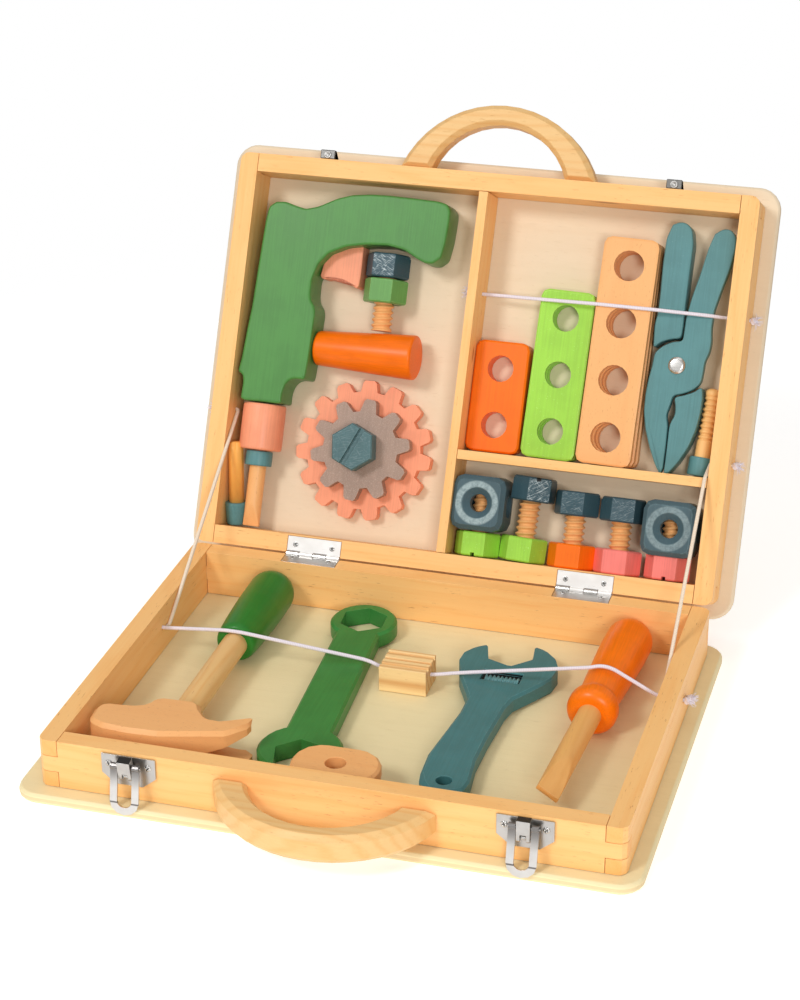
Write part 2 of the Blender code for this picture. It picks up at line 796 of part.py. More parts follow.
def latch(side, middle_x, tilt):
    plate = moved(prism(f"{side}_latch_plate", latch_outline, seam, seam + latch_plate_thickness), turn=(90, 0, 0))
    lug = box(
        "lug",
        (-lug_half_width, -lever_pivot_out, lever_pivot_height - lug_radius),
        (lug_half_width, -seam - latch_plate_thickness / 2, lever_pivot_height + lug_radius),
    )
    eye = rod("eye", lug_radius, -lug_half_width, lug_half_width, -lever_pivot_out, lever_pivot_height)
    pin_reach = lever_half_width - seam
    pin = rod("pin", latch_pin_radius, -pin_reach, pin_reach, -lever_pivot_out, lever_pivot_height)
    fused(plate, lug, eye, pin)
    finished(plate, nickel, base, (middle_x, 0, 0), roughness=0.35, metallic=1)

    rise = lever_top - lever_pivot_height
    outline = [(lever_half_thickness, rise), (-lever_half_thickness, rise)]
    for i in range(small_sides // 2 + 1):
        angle = pi + pi * i / (small_sides // 2)
        outline.append((lever_half_thickness * cos(angle), lever_half_thickness * sin(angle)))
    lever = prism(f"{side}_latch_lever", outline, -lever_half_width, lever_half_width)
    moved(lever, turn=(90, 0, 90))
    slot_top = lug_radius + lever_half_thickness / 2
    far = lever_half_thickness + overrun
    cut(
        lever,
        box("slot", (-lever_slot_half_width, -far, -far), (lever_slot_half_width, far, slot_top)),
        rod("bore", latch_pin_radius + running_gap, -far - lever_half_width, far + lever_half_width, 0, 0),
    )
    stud_reach = bail_half_width + stud_end
    fused(lever, rod("stud", stud_radius, -stud_reach, stud_reach, 0, stud_rise))
    finished(
        lever, nickel, base, (middle_x, -lever_pivot_out, lever_pivot_height), (tilt, 0, 0),
        roughness=0.35, metallic=1,
    )

    stud_out = lever_pivot_out + stud_rise * sin(radians(tilt))
    stud_height = lever_pivot_height + stud_rise * cos(radians(tilt))
    lean = degrees(atan((panel_overhang + bail_thickness / 2 + bail_rest_gap - stud_out) / stud_height))
    outline = [(-bail_half_width, 0), (-bail_half_width, -bail_shoulder)]
    for i in range(1, small_sides // 2):
        angle = pi + pi * i / (small_sides // 2)
        outline.append((bail_half_width * cos(angle), -bail_shoulder + bail_bow_depth * sin(angle)))
    outline += [(bail_half_width, -bail_shoulder), (bail_half_width, 0), (bail_half_gap, 0)]
    inner_depth = bail_bow_depth - bail_strip
    for i in range(small_sides // 2 + 1):
        angle = -pi * i / (small_sides // 2)
        outline.append((bail_half_gap * cos(angle), -bail_shoulder + inner_depth * sin(angle)))
    outline.append((-bail_half_gap, 0))
    bail = prism(f"{side}_latch_bail", outline, -bail_thickness / 2, bail_thickness / 2)
    moved(bail, turn=(90, 0, 0))
    for side_x in (-bail_half_width, bail_half_gap):
        near = side_x + bail_eye_inset
        fused(bail, rod("eye", bail_eye_radius, near, side_x + bail_strip - bail_eye_inset, 0, 0))
    reach = bail_half_width + overrun
    cut(bail, rod("bore", stud_radius + running_gap, -reach, reach, 0, 0))
    finished(
        bail, nickel, base, (middle_x, -stud_out, stud_height), (-lean, 0, 0), roughness=0.3, metallic=1
    )

    keeper_outline = [
        (0, keeper_low),
        (keeper_thickness, keeper_low),
        (keeper_thickness, keeper_high - keeper_thickness),
        (keeper_out - keeper_thickness, keeper_high - keeper_thickness),
        (keeper_out - keeper_thickness, keeper_high - keeper_thickness - keeper_lip),
        (keeper_out, keeper_high - keeper_thickness - keeper_lip),
        (keeper_out, keeper_high),
        (0, keeper_high),
    ]
    keeper = prism(f"{side}_keeper", keeper_outline, -keeper_width / 2, keeper_width / 2)
    moved(keeper, turn=(90, 0, 90))
    finished(keeper, nickel, lid, (middle_x, frame_depth + seam, 0), roughness=0.35, metallic=1)


latch("left", -latch_x, left_lever_tilt)
latch("right", latch_x, 0)


# Bolts and nuts
def hex_block(name, across_flats, low, high, turn=0):
    return prism(name, hexagon(across_flats, radians(turn)), low, high, hex_ease)


def slot_cutter(top, turn=0, across=hex_across_flats):
    cutter = box("slot", (-across, -slot_width / 2, top - slot_depth), (across, slot_width / 2, top + overrun))
    return moved(cutter, turn=(0, 0, turn))


hex_half = hex_across_flats / 2
hex_h = seam + hex_half  # axis of a bolt that lies on one of its flats
hex_half_corner = hex_across_flats / sqrt(3)

# Loose bolt and its nut, with the bolt along -u
loose_bolt = hex_block("loose_bolt", hex_across_flats, 0, hex_length)
fused(loose_bolt, prism("shaft", circle(shaft_radius, round_sides), hex_length / 2, hex_length + loose_shaft_length))
slot = box("slot", (-hex_across_flats, -slot_width / 2, -overrun), (hex_across_flats, slot_width / 2, slot_depth))
cut(loose_bolt, slot)
finished(loose_bolt, dark_teal, lid, (loose_bolt_x, loose_bolt_top, hex_h), (90, 0, 0))
nut_start = hex_length + nut_gap
loose_nut = hex_block("loose_nut", hex_across_flats, 0, hex_length)
nut_bore = shaft_radius + running_gap
cut(loose_nut, prism("bore", circle(nut_bore, round_sides), -overrun, hex_length + overrun))
finished(loose_nut, tool_green, lid, (loose_bolt_x, loose_bolt_top - nut_start, hex_h), (90, 0, 0))


def standing_bolt(name, x, length, lean, colour):
    """A bolt with its head up and its nut on the floor of the row, the nut tight at its foot."""
    bolt = hex_block(name, hex_across_flats, 0, hex_length)
    head = hex_block("head", hex_across_flats, length - hex_length, length)
    shaft = prism("shaft", circle(shaft_radius, round_sides), hex_length / 2, length - hex_length / 2)
    fused(bolt, shaft, head)
    cut(bolt, slot_cutter(length))
    rise = hex_half_corner * abs(sin(radians(lean)))
    return finished(bolt, colour, lid, (x, row_u + rise, hex_h), (-90, 0, lean))


standing_bolt("bolt_1", bolt_1_x, bolt_1_length, bolt_1_lean, dark_teal)
standing_bolt("bolt_2", bolt_2_x, bolt_2_length, 0, dark_teal)
standing_bolt("bolt_3", bolt_3_x, bolt_3_length, 0, dark_teal)


# Cubes on their slotted bolts
def cube(side, x, low_u, colour):
    shape = filleted(rectangle(-cube_width / 2, cube_width / 2, -cube_width / 2, cube_width / 2), cube_corner, 2)
    body = prism(f"{side}_cube", shape, 0, cube_depth, cube_ease)
    reach = cube_width / 2 + overrun
    bolt_h = hex_h - seam
    cone = turned(
        "cone",
        [
            (cube_face_bore_radius, cube_depth - cube_cone_depth),
            (cube_cone_radius, cube_depth),
            (cube_cone_radius, cube_depth + overrun),
        ],
        round_sides,
    )
    upright = prism("bore", circle(cube_face_bore_radius, round_sides), -overrun, cube_depth + overrun)
    along_u = moved(prism("bore", circle(cube_bore_radius, round_sides), -reach, reach), (0, 0, bolt_h), (90, 0, 0))
    along_x = moved(prism("bore", circle(cube_bore_radius, round_sides), -reach, reach), (0, 0, bolt_h), (0, 90, 0))
    cut(body, cone, upright, along_u, along_x)
    finished(body, teal, lid, (x, low_u + cube_width / 2, seam))

    shaft_end = low_u + cube_width - cube_shaft_top - row_u
    bolt = hex_block(f"{side}_cube_bolt", hex_across_flats, 0, hex_length)
    fused(bolt, prism("shaft", circle(shaft_radius, round_sides), hex_length / 2, shaft_end))
    slot = box("slot", (-slot_width / 2, -hex_across_flats, -overrun), (slot_width / 2, hex_across_flats, slot_depth))
    cut(bolt, slot)
    finished(bolt, colour, lid, (x, row_u, hex_h), (-90, 0, 0))


cube("left", left_cube_x, left_cube_u, bright_green)
cube("right", right_cube_x, right_cube_u, pink)

# Drill: body, trigger, and the chuck with its collar and bit
drill_outline = filleted(scaled(drill_shares, drill_length, drill_depth), drill_ease * 2, 1)
drill = prism("drill_body", drill_outline, 0, drill_thickness, drill_ease)
finished(drill, drill_green, lid, (drill_x, drill_u, drill_gap))
trigger_outline = filleted(scaled(trigger_shares, drill_length, drill_depth), trigger_ease, 1)
trigger = prism("drill_trigger", trigger_outline, 0, trigger_thickness, trigger_ease)
around_drill = prism("around", inset(anticlockwise(drill_outline), -seam), -overrun, drill_thickness + overrun)
cut(trigger, around_drill)
finished(trigger, pink, lid, (drill_x, drill_u, seam))
collar_start = chuck_length + chuck_neck_length
collar_end = collar_start + chuck_collar_length
bit_end = collar_end + bit_length
chuck = turned(
    "drill_chuck",
    [
        (chuck_radius - trigger_ease, 0),
        (chuck_radius, trigger_ease),
        (chuck_radius, chuck_length - drill_ease),
        (chuck_radius - drill_ease, chuck_length),
        (chuck_neck_radius, chuck_length),
        (chuck_neck_radius, collar_start),
        (chuck_collar_radius, collar_start),
        (chuck_collar_radius, collar_end),
        (bit_radius, collar_end),
        (bit_radius, bit_end),
    ],
    round_sides,
)
bit_room = bit_radius * 2
for side in (-1, 1):
    flats = []
    for along, near in ((bit_end - bit_blade_length, bit_radius), (bit_end + overrun, bit_blade_thickness / 2)):
        far_pair = [(-bit_room, side * bit_room, along), (bit_room, side * bit_room, along)]
        flats.append(far_pair + [(bit_room, side * near, along), (-bit_room, side * near, along)])
    cut(chuck, closed_body("flat", flats))
finished(chuck, pink, lid, (chuck_x, drill_u - seam * 2, chuck_h), (90, 0, 0))

# Spare bit
spare = turned(
    "spare_bit",
    [
        (spare_ferrule_radius, 0),
        (spare_ferrule_radius, spare_ferrule_length),
        (spare_dowel_radius, spare_ferrule_length),
        (spare_dowel_radius, spare_bit_length),
    ],
    round_sides,
)
reach = spare_dowel_radius + overrun
notch_floor = spare_bit_length - spare_cross_depth
for quarter in range(4):
    low = spare_cross_width / 2
    corner = box("corner", (low, low, notch_floor), (reach, reach, spare_bit_length + overrun))
    cut(spare, moved(corner, turn=(0, 0, quarter * 90)))
spare_u = board_thickness + seam + spare_ferrule_radius * sin(radians(spare_bit_tilt)) + seam
spare_h = seam + spare_ferrule_radius * cos(radians(spare_bit_tilt)) + seam
finished(spare, teal, lid, (spare_bit_x, spare_u, spare_h), (spare_bit_tilt - 90, 0, spare_bit_lean))

# Tapered cylinder, with both rims on the floor
cylinder = turned(
    "tapered_cylinder",
    [
        (cylinder_small_radius - cylinder_ease, 0),
        (cylinder_small_radius, cylinder_ease),
        (cylinder_large_radius, cylinder_length - cylinder_ease),
        (cylinder_large_radius - cylinder_ease, cylinder_length),
    ],
    fine_sides,
)
cylinder_rise = degrees(atan((cylinder_large_radius - cylinder_small_radius) / cylinder_length))
finished(
    cylinder, orange, lid, (cylinder_x, cylinder_u, seam * 2 + cylinder_small_radius), (0, 90 - cylinder_rise, 0)
)


# Gears and the bolt through both
def gear(name, teeth, tip_radius, root_radius, tip_width, base_width, colour, turn, low):
    outline = []
    for tooth in range(teeth):
        middle = 2 * pi * tooth / teeth
        for radius, half in (
            (root_radius, -base_width / 2),
            (tip_radius - gear_ease, -tip_width / 2),
            (tip_radius, -tip_width / 2 + gear_ease),
            (tip_radius, tip_width / 2 - gear_ease),
            (tip_radius - gear_ease, tip_width / 2),
            (root_radius, base_width / 2),
        ):
            angle = middle + half / radius
            outline.append((radius * cos(angle), radius * sin(angle)))
    wheel = prism(name, outline, 0, gear_thickness)
    bore = prism("bore", circle(shaft_radius + gear_gap, round_sides), -overrun, gear_thickness + overrun)
    cut(wheel, bore)
    return finished(wheel, colour, lid, (gear_x, gear_u, low), (0, 0, turn))


large_low = seam
small_low = large_low + gear_thickness + seam
gear(
    "large_gear", large_gear_teeth, large_gear_radius, large_gear_root, large_gear_tip, large_gear_base,
    pink, large_gear_turn, large_low,
)
gear(
    "small_gear", small_gear_teeth, small_gear_radius, small_gear_root, small_gear_tip, small_gear_base,
    gear_grey, small_gear_turn, small_low,
)
head_low = small_low + gear_thickness + seam
gear_bolt = hex_block("gear_bolt", gear_bolt_across_flats, head_low, head_low + gear_bolt_head, gear_bolt_turn)
fused(gear_bolt, prism("shaft", circle(shaft_radius, round_sides), large_low + seam, head_low + hex_ease * 2))
cut(gear_bolt, slot_cutter(head_low + gear_bolt_head, gear_slot_turn))
finished(gear_bolt, dark_teal, lid, (gear_x, gear_u, 0))


# Bars with holes
def bar(name, x, holes, thickness, hole_radius, lean, colour):
    length = bar_pitch * holes - (bar_pitch - bar_width)
    shape = filleted(rectangle(-bar_width / 2, bar_width / 2, 0, length), bar_corner, 2)
    body = prism(name, shape, 0, thickness, bar_ease)
    for i in range(holes):
        centre = (0, bar_width / 2 + i * bar_pitch)
        cut(body, prism("hole", circle(hole_radius, round_sides, centre), -overrun, thickness + overrun))
    return finished(body, colour, lid, (x, bar_floor_u, seam), (0, 0, -lean))


bar("orange_bar", orange_bar_x, 2, orange_bar_thickness, bar_hole_radius, 0, orange)
bar("green_bar_stack", green_bar_x, 3, green_bar_thickness, bar_hole_radius, green_bar_lean, bright_green)
bar("wood_bar_stack", wood_bar_x, 4, wood_bar_thickness, wood_bar_hole_radius, wood_bar_lean, beech)

# Pliers: two halves, half-lapped round the rivet
pliers_middle = pliers_thickness / 2


def pliers_half(name, grip_shares, jaw_shares, keep_top):
    grip = scaled(grip_shares, pliers_width, pliers_span)
    jaw = scaled(jaw_shares, pliers_width, pliers_span)
    half = prism(name, circle(pliers_disc_radius, fine_sides), 0, pliers_thickness)
    room = pliers_disc_radius + seam
    low, high = -overrun, pliers_middle + seam / 2
    if not keep_top:
        low, high = pliers_middle - seam / 2, pliers_thickness + overrun
    pieces = []
    for label, outline in (("grip", grip), ("jaw", jaw)):
        piece = prism(label, filleted(outline, pliers_ease * 2, 1), 0, pliers_thickness, pliers_ease)
        pieces.append(piece)
    fused(half, *pieces)
    cut(half, prism("lap", circle(room, fine_sides), low, high))
    return half


left_half = pliers_half("pliers_left_grip", left_grip_shares, right_jaw_shares, False)
bore = pliers_rivet_radius + running_gap
cut(left_half, prism("bore", circle(bore, round_sides), -overrun, pliers_thickness))
finished(left_half, teal, lid, (pliers_x, pliers_u, seam))
right_half = pliers_half("pliers_right_grip", right_grip_shares, left_jaw_shares, True)
fused(right_half, prism("rivet", circle(pliers_rivet_radius, round_sides), seam, pliers_middle + seam * 2))
dome = turned(
    "dome",
    [
        (pliers_dome_radius, pliers_thickness - seam),
        (pliers_dome_radius, pliers_thickness + seam),
        (pliers_dome_radius * 2 / 3, pliers_thickness + pliers_dome_height),
        (0, pliers_thickness + pliers_dome_height + seam / 2),
    ],
    round_sides,
)
fused(right_half, dome)
finished(right_half, teal, lid, (pliers_x, pliers_u, seam))

# Threaded peg
peg = turned(
    "threaded_peg",
    [
        (peg_cap_radius, 0),
        (peg_cap_radius, peg_cap_length),
        (peg_radius, peg_cap_length),
        (peg_radius, peg_length - peg_radius / 2),
        (peg_radius / 2, peg_length),
    ],
    small_sides + 4,
)
peg_rise = peg_cap_radius * sin(radians(peg_lean))
finished(peg, beech, lid, (peg_x, peg_u + peg_rise, seam + peg_cap_radius), (-90, 0, -peg_lean))

# Block on the base elastic
block = box(
    "cord_block",
    (-block_width / 2, -block_depth / 2, 0),
    (block_width / 2, block_depth / 2, block_height),
)
for share in block_groove_shares:
    middle = block_depth * (share - 1 / 2)
    groove = box(
        "groove",
        (-block_width, middle - block_groove_width / 2, block_height - block_groove_depth),
        (block_width, middle + block_groove_width / 2, block_height + overrun),
    )
    cut(block, groove)
cut(block, rod("hole", cord_hole_radius, -block_width, block_width, 0, block_cord_h - seam))
finished(block, pine, base, (block_x, base_elastic_y, seam))

# Hammer
head_outline = filleted(scaled(hammer_shares, hammer_head_length, hammer_head_depth), hammer_head_ease * 2, 1)
head = prism(
    "hammer_head",
    head_outline,
    hammer_axis_h - hammer_head_thickness / 2,
    hammer_axis_h + hammer_head_thickness / 2,
    hammer_head_ease,
)
tip = hammer_head_length + overrun
root = hammer_head_length - hammer_claw_root
spread = hammer_claw_gap / 2 * (hammer_claw_root + overrun) / hammer_claw_root
claw_cut = prism(
    "claw", [(root, 0), (tip, -spread), (tip, spread)], -hammer_head_depth - overrun, overrun
)
moved(claw_cut, (0, 0, hammer_axis_h), (90, 0, 0))
shaft_x = hammer_x - hammer_head_x
shaft_room = hammer_shaft_radius + running_gap
shaft_bore = prism(
    "bore", circle(shaft_room, round_sides), hammer_shaft_start - hammer_head_y - seam, hammer_head_depth + overrun
)
moved(shaft_bore, (shaft_x, 0, hammer_axis_h), (-90, 0, 0))
cut(head, claw_cut, shaft_bore)
finished(head, beech, base, (hammer_head_x, hammer_head_y, 0))
grip_length = hammer_grip_end - hammer_shaft_start
grip_begin = hammer_grip_start - hammer_shaft_start
nose = [
    (hammer_grip_radius * cos(angle), grip_length - hammer_grip_nose * (1 - sin(angle)))
    for angle in (0, pi / 8, pi / 4, 3 * pi / 8, 7 * pi / 16)
]
handle = turned(
    "hammer_handle",
    [
        (hammer_shaft_radius, 0),
        (hammer_shaft_radius, grip_begin),
        (hammer_grip_radius - hammer_grip_lip, grip_begin),
        (hammer_grip_radius, grip_begin + hammer_grip_lip),
        *nose,
        (0, grip_length),
    ],
    round_sides,
)
finished(handle, tool_green, base, (hammer_x, hammer_shaft_start, hammer_axis_h), (-90, 0, 0))

# Ring wrench, lying along -Y from its ring
ring_wrench = prism("ring_wrench", circle(ring_radius, fine_sides), 0, wrench_thickness, wrench_ease)
open_head = prism("open", circle(open_head_radius, fine_sides), 0, wrench_thickness, wrench_ease)
moved(open_head, (0, -ring_to_head, 0))
shank = prism(
    "shank",
    [
        (-shank_end_half_width, 0),
        (-shank_half_width, -ring_to_head),
        (shank_half_width, -ring_to_head),
        (shank_end_half_width, 0),
    ],
    0,
    wrench_thickness,
    wrench_ease,
)
fused(ring_wrench, shank, open_head)
ring_hole = prism("hole", hexagon(ring_across_flats, pi / 6), -overrun, wrench_thickness + overrun)
mouth_corner = mouth_across_flats / sqrt(3)
mouth_outline = [
    (-mouth_across_flats / 2, -open_head_radius * 2),
    (-mouth_across_flats / 2, mouth_corner / 2),
    (0, mouth_corner),
    (mouth_across_flats / 2, mouth_corner / 2),
    (mouth_across_flats / 2, -open_head_radius * 2),
]
mouth = prism("mouth", mouth_outline, -overrun, wrench_thickness + overrun)
moved(mouth, (0, -mouth_offset, 0))
moved(mouth, (0, -ring_to_head, 0), (0, 0, mouth_turn))
cut(ring_wrench, ring_hole, mouth)
finished(ring_wrench, tool_green, base, (ring_x, ring_y, seam), (0, 0, ring_wrench_turn))

# Oval plate on the wrench
corners = rectangle(-plate_width / 2, plate_width / 2, -plate_depth / 2, plate_depth / 2)
oval = prism("oval_plate", filleted(corners, plate_corner, 4), 0, plate_thickness, plate_ease)
cut(oval, prism("hole", circle(plate_hole_radius, round_sides), -overrun, plate_thickness + overrun))
finished(oval, beech, base, (plate_x, plate_y, wrench_thickness + seam * 2))

# Adjustable wrench
outline = filleted(scaled(adjustable_shares, adjustable_width, adjustable_length), wrench_ease * 2, 1)
adjustable = prism("adjustable_wrench", outline, 0, wrench_thickness, wrench_ease)
hole_x, hole_y = adjustable_hole_share
hang_hole = circle(
    adjustable_hole_radius, round_sides, (hole_x * adjustable_width, hole_y * adjustable_length)
)
cut(adjustable, prism("hole", hang_hole, -overrun, wrench_thickness + overrun))
window_x = adjustable_window_share[0] * adjustable_width
window_y = adjustable_window_share[1] * adjustable_length
window = box(
    "window",
    (-adjustable_window_width / 2, -adjustable_window_height / 2, wrench_thickness - adjustable_window_depth),
    (adjustable_window_width / 2, adjustable_window_height / 2, wrench_thickness + overrun),
)
cut(adjustable, moved(window, (window_x, window_y, 0)))
finished(adjustable, teal, base, (adjustable_x, adjustable_y, seam))

# Screwdriver, from its blade
collar_end = driver_shaft_length + driver_collar_length
neck_end = collar_end + driver_neck_length
nose = [
    (driver_handle_radius * cos(angle), driver_length - driver_nose * (1 - sin(angle)))
    for angle in (0, pi / 8, pi / 4, 3 * pi / 8, 7 * pi / 16)
]
driver = turned(
    "screwdriver",
    [
        (driver_shaft_radius, 0),
        (driver_shaft_radius, driver_shaft_length),
        (driver_collar_radius * 3 / 4, driver_shaft_length),
        (driver_collar_radius, driver_shaft_length + driver_collar_length / 4),
        (driver_collar_radius, collar_end - driver_collar_length / 4),
        (driver_neck_radius, collar_end),
        (driver_neck_radius, collar_end + driver_neck_length / 3),
        (driver_handle_radius, neck_end),
        *nose,
        (0, driver_length),
    ],
    round_sides,
)
wide = driver_shaft_radius * 2
for side in (-1, 1):
    flats = []
    for along, near in ((-overrun, driver_blade_thickness / 2), (driver_blade_length, driver_shaft_radius)):
        near_pair = [(-wide, side * near, along), (wide, side * near, along)]
        flats.append(near_pair + [(wide, side * wide, along), (-wide, side * wide, along)])
    cut(driver, closed_body("flat", flats))
finished(driver, orange, base, (driver_tip_x, driver_tip_y, driver_axis_h), (-90, 0, -driver_turn))


# Cords
def bent(points, bend):
    """The route with each inner corner replaced by a short curve."""
    route = [Vector(point) for point in points]
    smooth = [route[0]]
    for before, here, after in zip(route, route[1:], route[2:]):
        back = before - here
        ahead = after - here
        reach = min(bend, back.length * 0.4, ahead.length * 0.4)
        start = here + unit(back) * reach
        end = here + unit(ahead) * reach
        for share in (0, 0.5, 1):
            smooth.append(start * (1 - share) ** 2 + here * 2 * share * (1 - share) + end * share**2)
    smooth.append(route[-1])
    return smooth


def cord(name, route, bend):
    """A round cord along the route, swelling to a knot at each end."""
    points = bent(route, bend)
    swell = knot_radius / cord_radius
    profile = ((0, 0.55), (0.35, 0.93), (1, 1), (1.65, 0.93), (2, 0.5))
    head = unit(points[1] - points[0])
    tail = unit(points[-2] - points[-1])
    whole = [(points[0] + head * knot_radius * share, swell * size) for share, size in profile]
    whole += [(point, 1) for point in points[1:-1]]
    whole += [(points[-1] + tail * knot_radius * share, swell * size) for share, size in reversed(profile)]
    curve = bpy.data.curves.new(name, "CURVE")
    curve.dimensions = "3D"
    curve.bevel_depth = cord_radius
    curve.bevel_resolution = 2
    curve.use_fill_caps = True
    line = curve.splines.new("POLY")
    line.points.add(len(whole) - 1)
    for spot, (place, size) in zip(line.points, whole):
        spot.co = (*place, 1)
        spot.radius = size
    body = bpy.data.objects.new(name, curve)
    bpy.context.scene.collection.objects.link(body)
    return finished(body, cord_white, base, roughness=0.8)


knot_end = half_width + knot_gap + 2 * knot_radius
for side, sign in (("left", -1), ("right", 1)):
    inside = sign * (inner_half_width - stay_wall_gap - cord_radius)
    over_shelf = [on_base(inside, shelf_high, tray_height + cord_lift * 2)] if side == "right" else []
    cord(
        f"{side}_stay_cord",
        [
            (sign * knot_end, stay_base_y, stay_base_h),
            (inside, stay_base_y, stay_base_h),
            *over_shelf,
            on_base(inside, stay_lid_u, stay_lid_h),
            on_base(sign * knot_end, stay_lid_u, stay_lid_h),
        ],
        stay_bend,
    )


def over(centre_x, centre_h, radius, angle):
    """The point on the round top of a handle where the elastic touches it."""
    wrap = radius + cord_lift
    return (centre_x + wrap * cos(radians(angle)), base_elastic_y, centre_h + wrap * sin(radians(angle)))


wrench_top = seam + wrench_thickness + cord_lift
at_block = base_elastic_y - ring_y
wrench_right = ring_x + at_block * tan(-radians(ring_wrench_turn)) + shank_half_width
driver_at_cord = driver_tip_x + (base_elastic_y - driver_tip_y) * tan(radians(driver_turn))
elastic_route = [
    (-knot_end, base_elastic_y, base_elastic_h),
    (-inner_half_width + cord_lead, base_elastic_y, base_elastic_h),
]
shaft_top = hammer_axis_h + hammer_shaft_radius + cord_lift
beside_grip = hammer_grip_radius + seam
elastic_route += [
    (hammer_x - beside_grip, elastic_on_shaft_y, shaft_top - cord_dip),
    (hammer_x - hammer_shaft_radius / 2, elastic_on_shaft_y, shaft_top),
    (hammer_x + hammer_shaft_radius / 2, elastic_on_shaft_y, shaft_top),
    (hammer_x + beside_grip, elastic_on_shaft_y, shaft_top - cord_dip),
    (wrench_right + cord_lift, base_elastic_y, wrench_top + seam),
    (block_x - block_width / 2 - seam, base_elastic_y, block_cord_h),
    (block_x + block_width / 2 + seam, base_elastic_y, block_cord_h),
    (adjustable_x + adjustable_width * adjustable_shares[-1][0], base_elastic_y, wrench_top + seam),
]
elastic_route += [
    over(driver_at_cord, driver_axis_h, driver_handle_radius, angle) for angle in (119, 106, 92, 78, 65)
]
elastic_route += [
    (inner_half_width - cord_lead, base_elastic_y, base_elastic_h),
    (knot_end, base_elastic_y, base_elastic_h),
]
cord("base_elastic", elastic_route, cord_bend)

green_top = seam + green_bar_thickness + cord_lift
wood_top = seam + wood_bar_thickness + cord_lift
pliers_top = seam + pliers_thickness + cord_lift
rise_u = lid_elastic_u - bar_floor_u
green_left = green_bar_x - bar_width / 2 + rise_u * tan(radians(green_bar_lean))
wood_left = wood_bar_x - bar_width / 2 + rise_u * tan(radians(wood_bar_lean))
pliers_right = pliers_x + pliers_width * right_grip_shares[10][0]
lid_route = [
    (divider_left - knot_gap - 2 * knot_radius, lid_elastic_h),
    (divider_right, lid_elastic_h),
    (green_left, green_top),
    (wood_left, wood_top),
    (wood_left + bar_width, wood_top),
    (pliers_right, pliers_top),
    (inner_half_width - cord_lead, lid_elastic_h),
    (knot_end, lid_elastic_h),
]
cord("lid_elastic", [on_base(x, lid_elastic_u, h) for x, h in lid_route], cord_bend)
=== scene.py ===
import json
from math import atan, cos, degrees, pi, radians, sin

import bmesh
import bpy
import numpy as np
from mathutils import Euler, Matrix, Vector

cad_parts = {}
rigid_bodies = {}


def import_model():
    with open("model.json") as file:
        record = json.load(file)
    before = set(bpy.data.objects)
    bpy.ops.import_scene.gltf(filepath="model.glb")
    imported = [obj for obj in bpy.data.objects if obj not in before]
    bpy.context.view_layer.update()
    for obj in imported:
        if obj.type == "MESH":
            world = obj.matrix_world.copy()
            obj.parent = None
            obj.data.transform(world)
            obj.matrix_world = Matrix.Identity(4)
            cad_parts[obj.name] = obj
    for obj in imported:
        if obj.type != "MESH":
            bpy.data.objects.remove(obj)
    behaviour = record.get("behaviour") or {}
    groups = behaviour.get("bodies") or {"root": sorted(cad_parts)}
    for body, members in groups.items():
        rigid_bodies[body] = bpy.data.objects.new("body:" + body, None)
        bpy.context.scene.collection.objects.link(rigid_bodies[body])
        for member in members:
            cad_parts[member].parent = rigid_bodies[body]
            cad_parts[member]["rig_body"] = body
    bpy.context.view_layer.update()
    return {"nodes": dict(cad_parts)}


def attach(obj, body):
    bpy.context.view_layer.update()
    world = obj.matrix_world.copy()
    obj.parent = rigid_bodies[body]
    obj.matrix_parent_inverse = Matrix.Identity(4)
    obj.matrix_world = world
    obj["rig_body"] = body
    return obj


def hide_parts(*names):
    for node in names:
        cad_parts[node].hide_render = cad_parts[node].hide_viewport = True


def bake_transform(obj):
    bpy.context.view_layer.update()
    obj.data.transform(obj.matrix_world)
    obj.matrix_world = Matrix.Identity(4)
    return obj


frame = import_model()
mm = 0.001
print("frame loaded,", len(frame["nodes"]), "solids")

# The two trays: x to the right, u from the near edge, h up from the panel
right = Vector((1, 0, 0))
back = Vector((0, 1, 0))
up = Vector((0, 0, 1))
lidU = Vector((0, 0.444635, 0.895712))
lidN = Vector((0, -0.895712, 0.444635))
lidOrigin = Vector((0, 0.13329, 0.02056))
lidTurn = Matrix((right, lidU, lidN)).transposed().to_4x4()
trays = {
    "base": Matrix.Translation((0, -0.109, 0.0055)),
    "lid": Matrix.Translation(lidOrigin) @ lidTurn,
}


def spot(tray, place, turn=(0, 0, 0)):
    spin = Euler([radians(angle) for angle in turn]).to_matrix().to_4x4()
    return trays[tray] @ Matrix.Translation(Vector(place) * mm) @ spin


# Shader building: a Flow is one socket, and arithmetic on it adds Math nodes
class Flow:
    def __init__(self, look, socket):
        self.look = look
        self.socket = socket

    def calc(self, kind, *others, first=None):
        parts = (self, *others) if first is None else (first, self, *others)
        return self.look.add("ShaderNodeMath", {"operation": kind}, dict(enumerate(parts)))

    def __add__(self, other):
        return self.calc("ADD", other)

    def __mul__(self, other):
        return self.calc("MULTIPLY", other)

    def __sub__(self, other):
        return self.calc("SUBTRACT", other)

    def __rsub__(self, other):
        return self.calc("SUBTRACT", first=other)

    def __truediv__(self, other):
        return self.calc("DIVIDE", other)

    __radd__ = __add__
    __rmul__ = __mul__

    def wave(self):
        return self.calc("SINE")

    def size(self):
        return self.calc("ABSOLUTE")

    def ramp(self, low, high):
        sockets = {"Value": self, "From Min": low, "From Max": high}
        return self.look.add("ShaderNodeMapRange", {"interpolation_type": "SMOOTHSTEP"}, sockets)


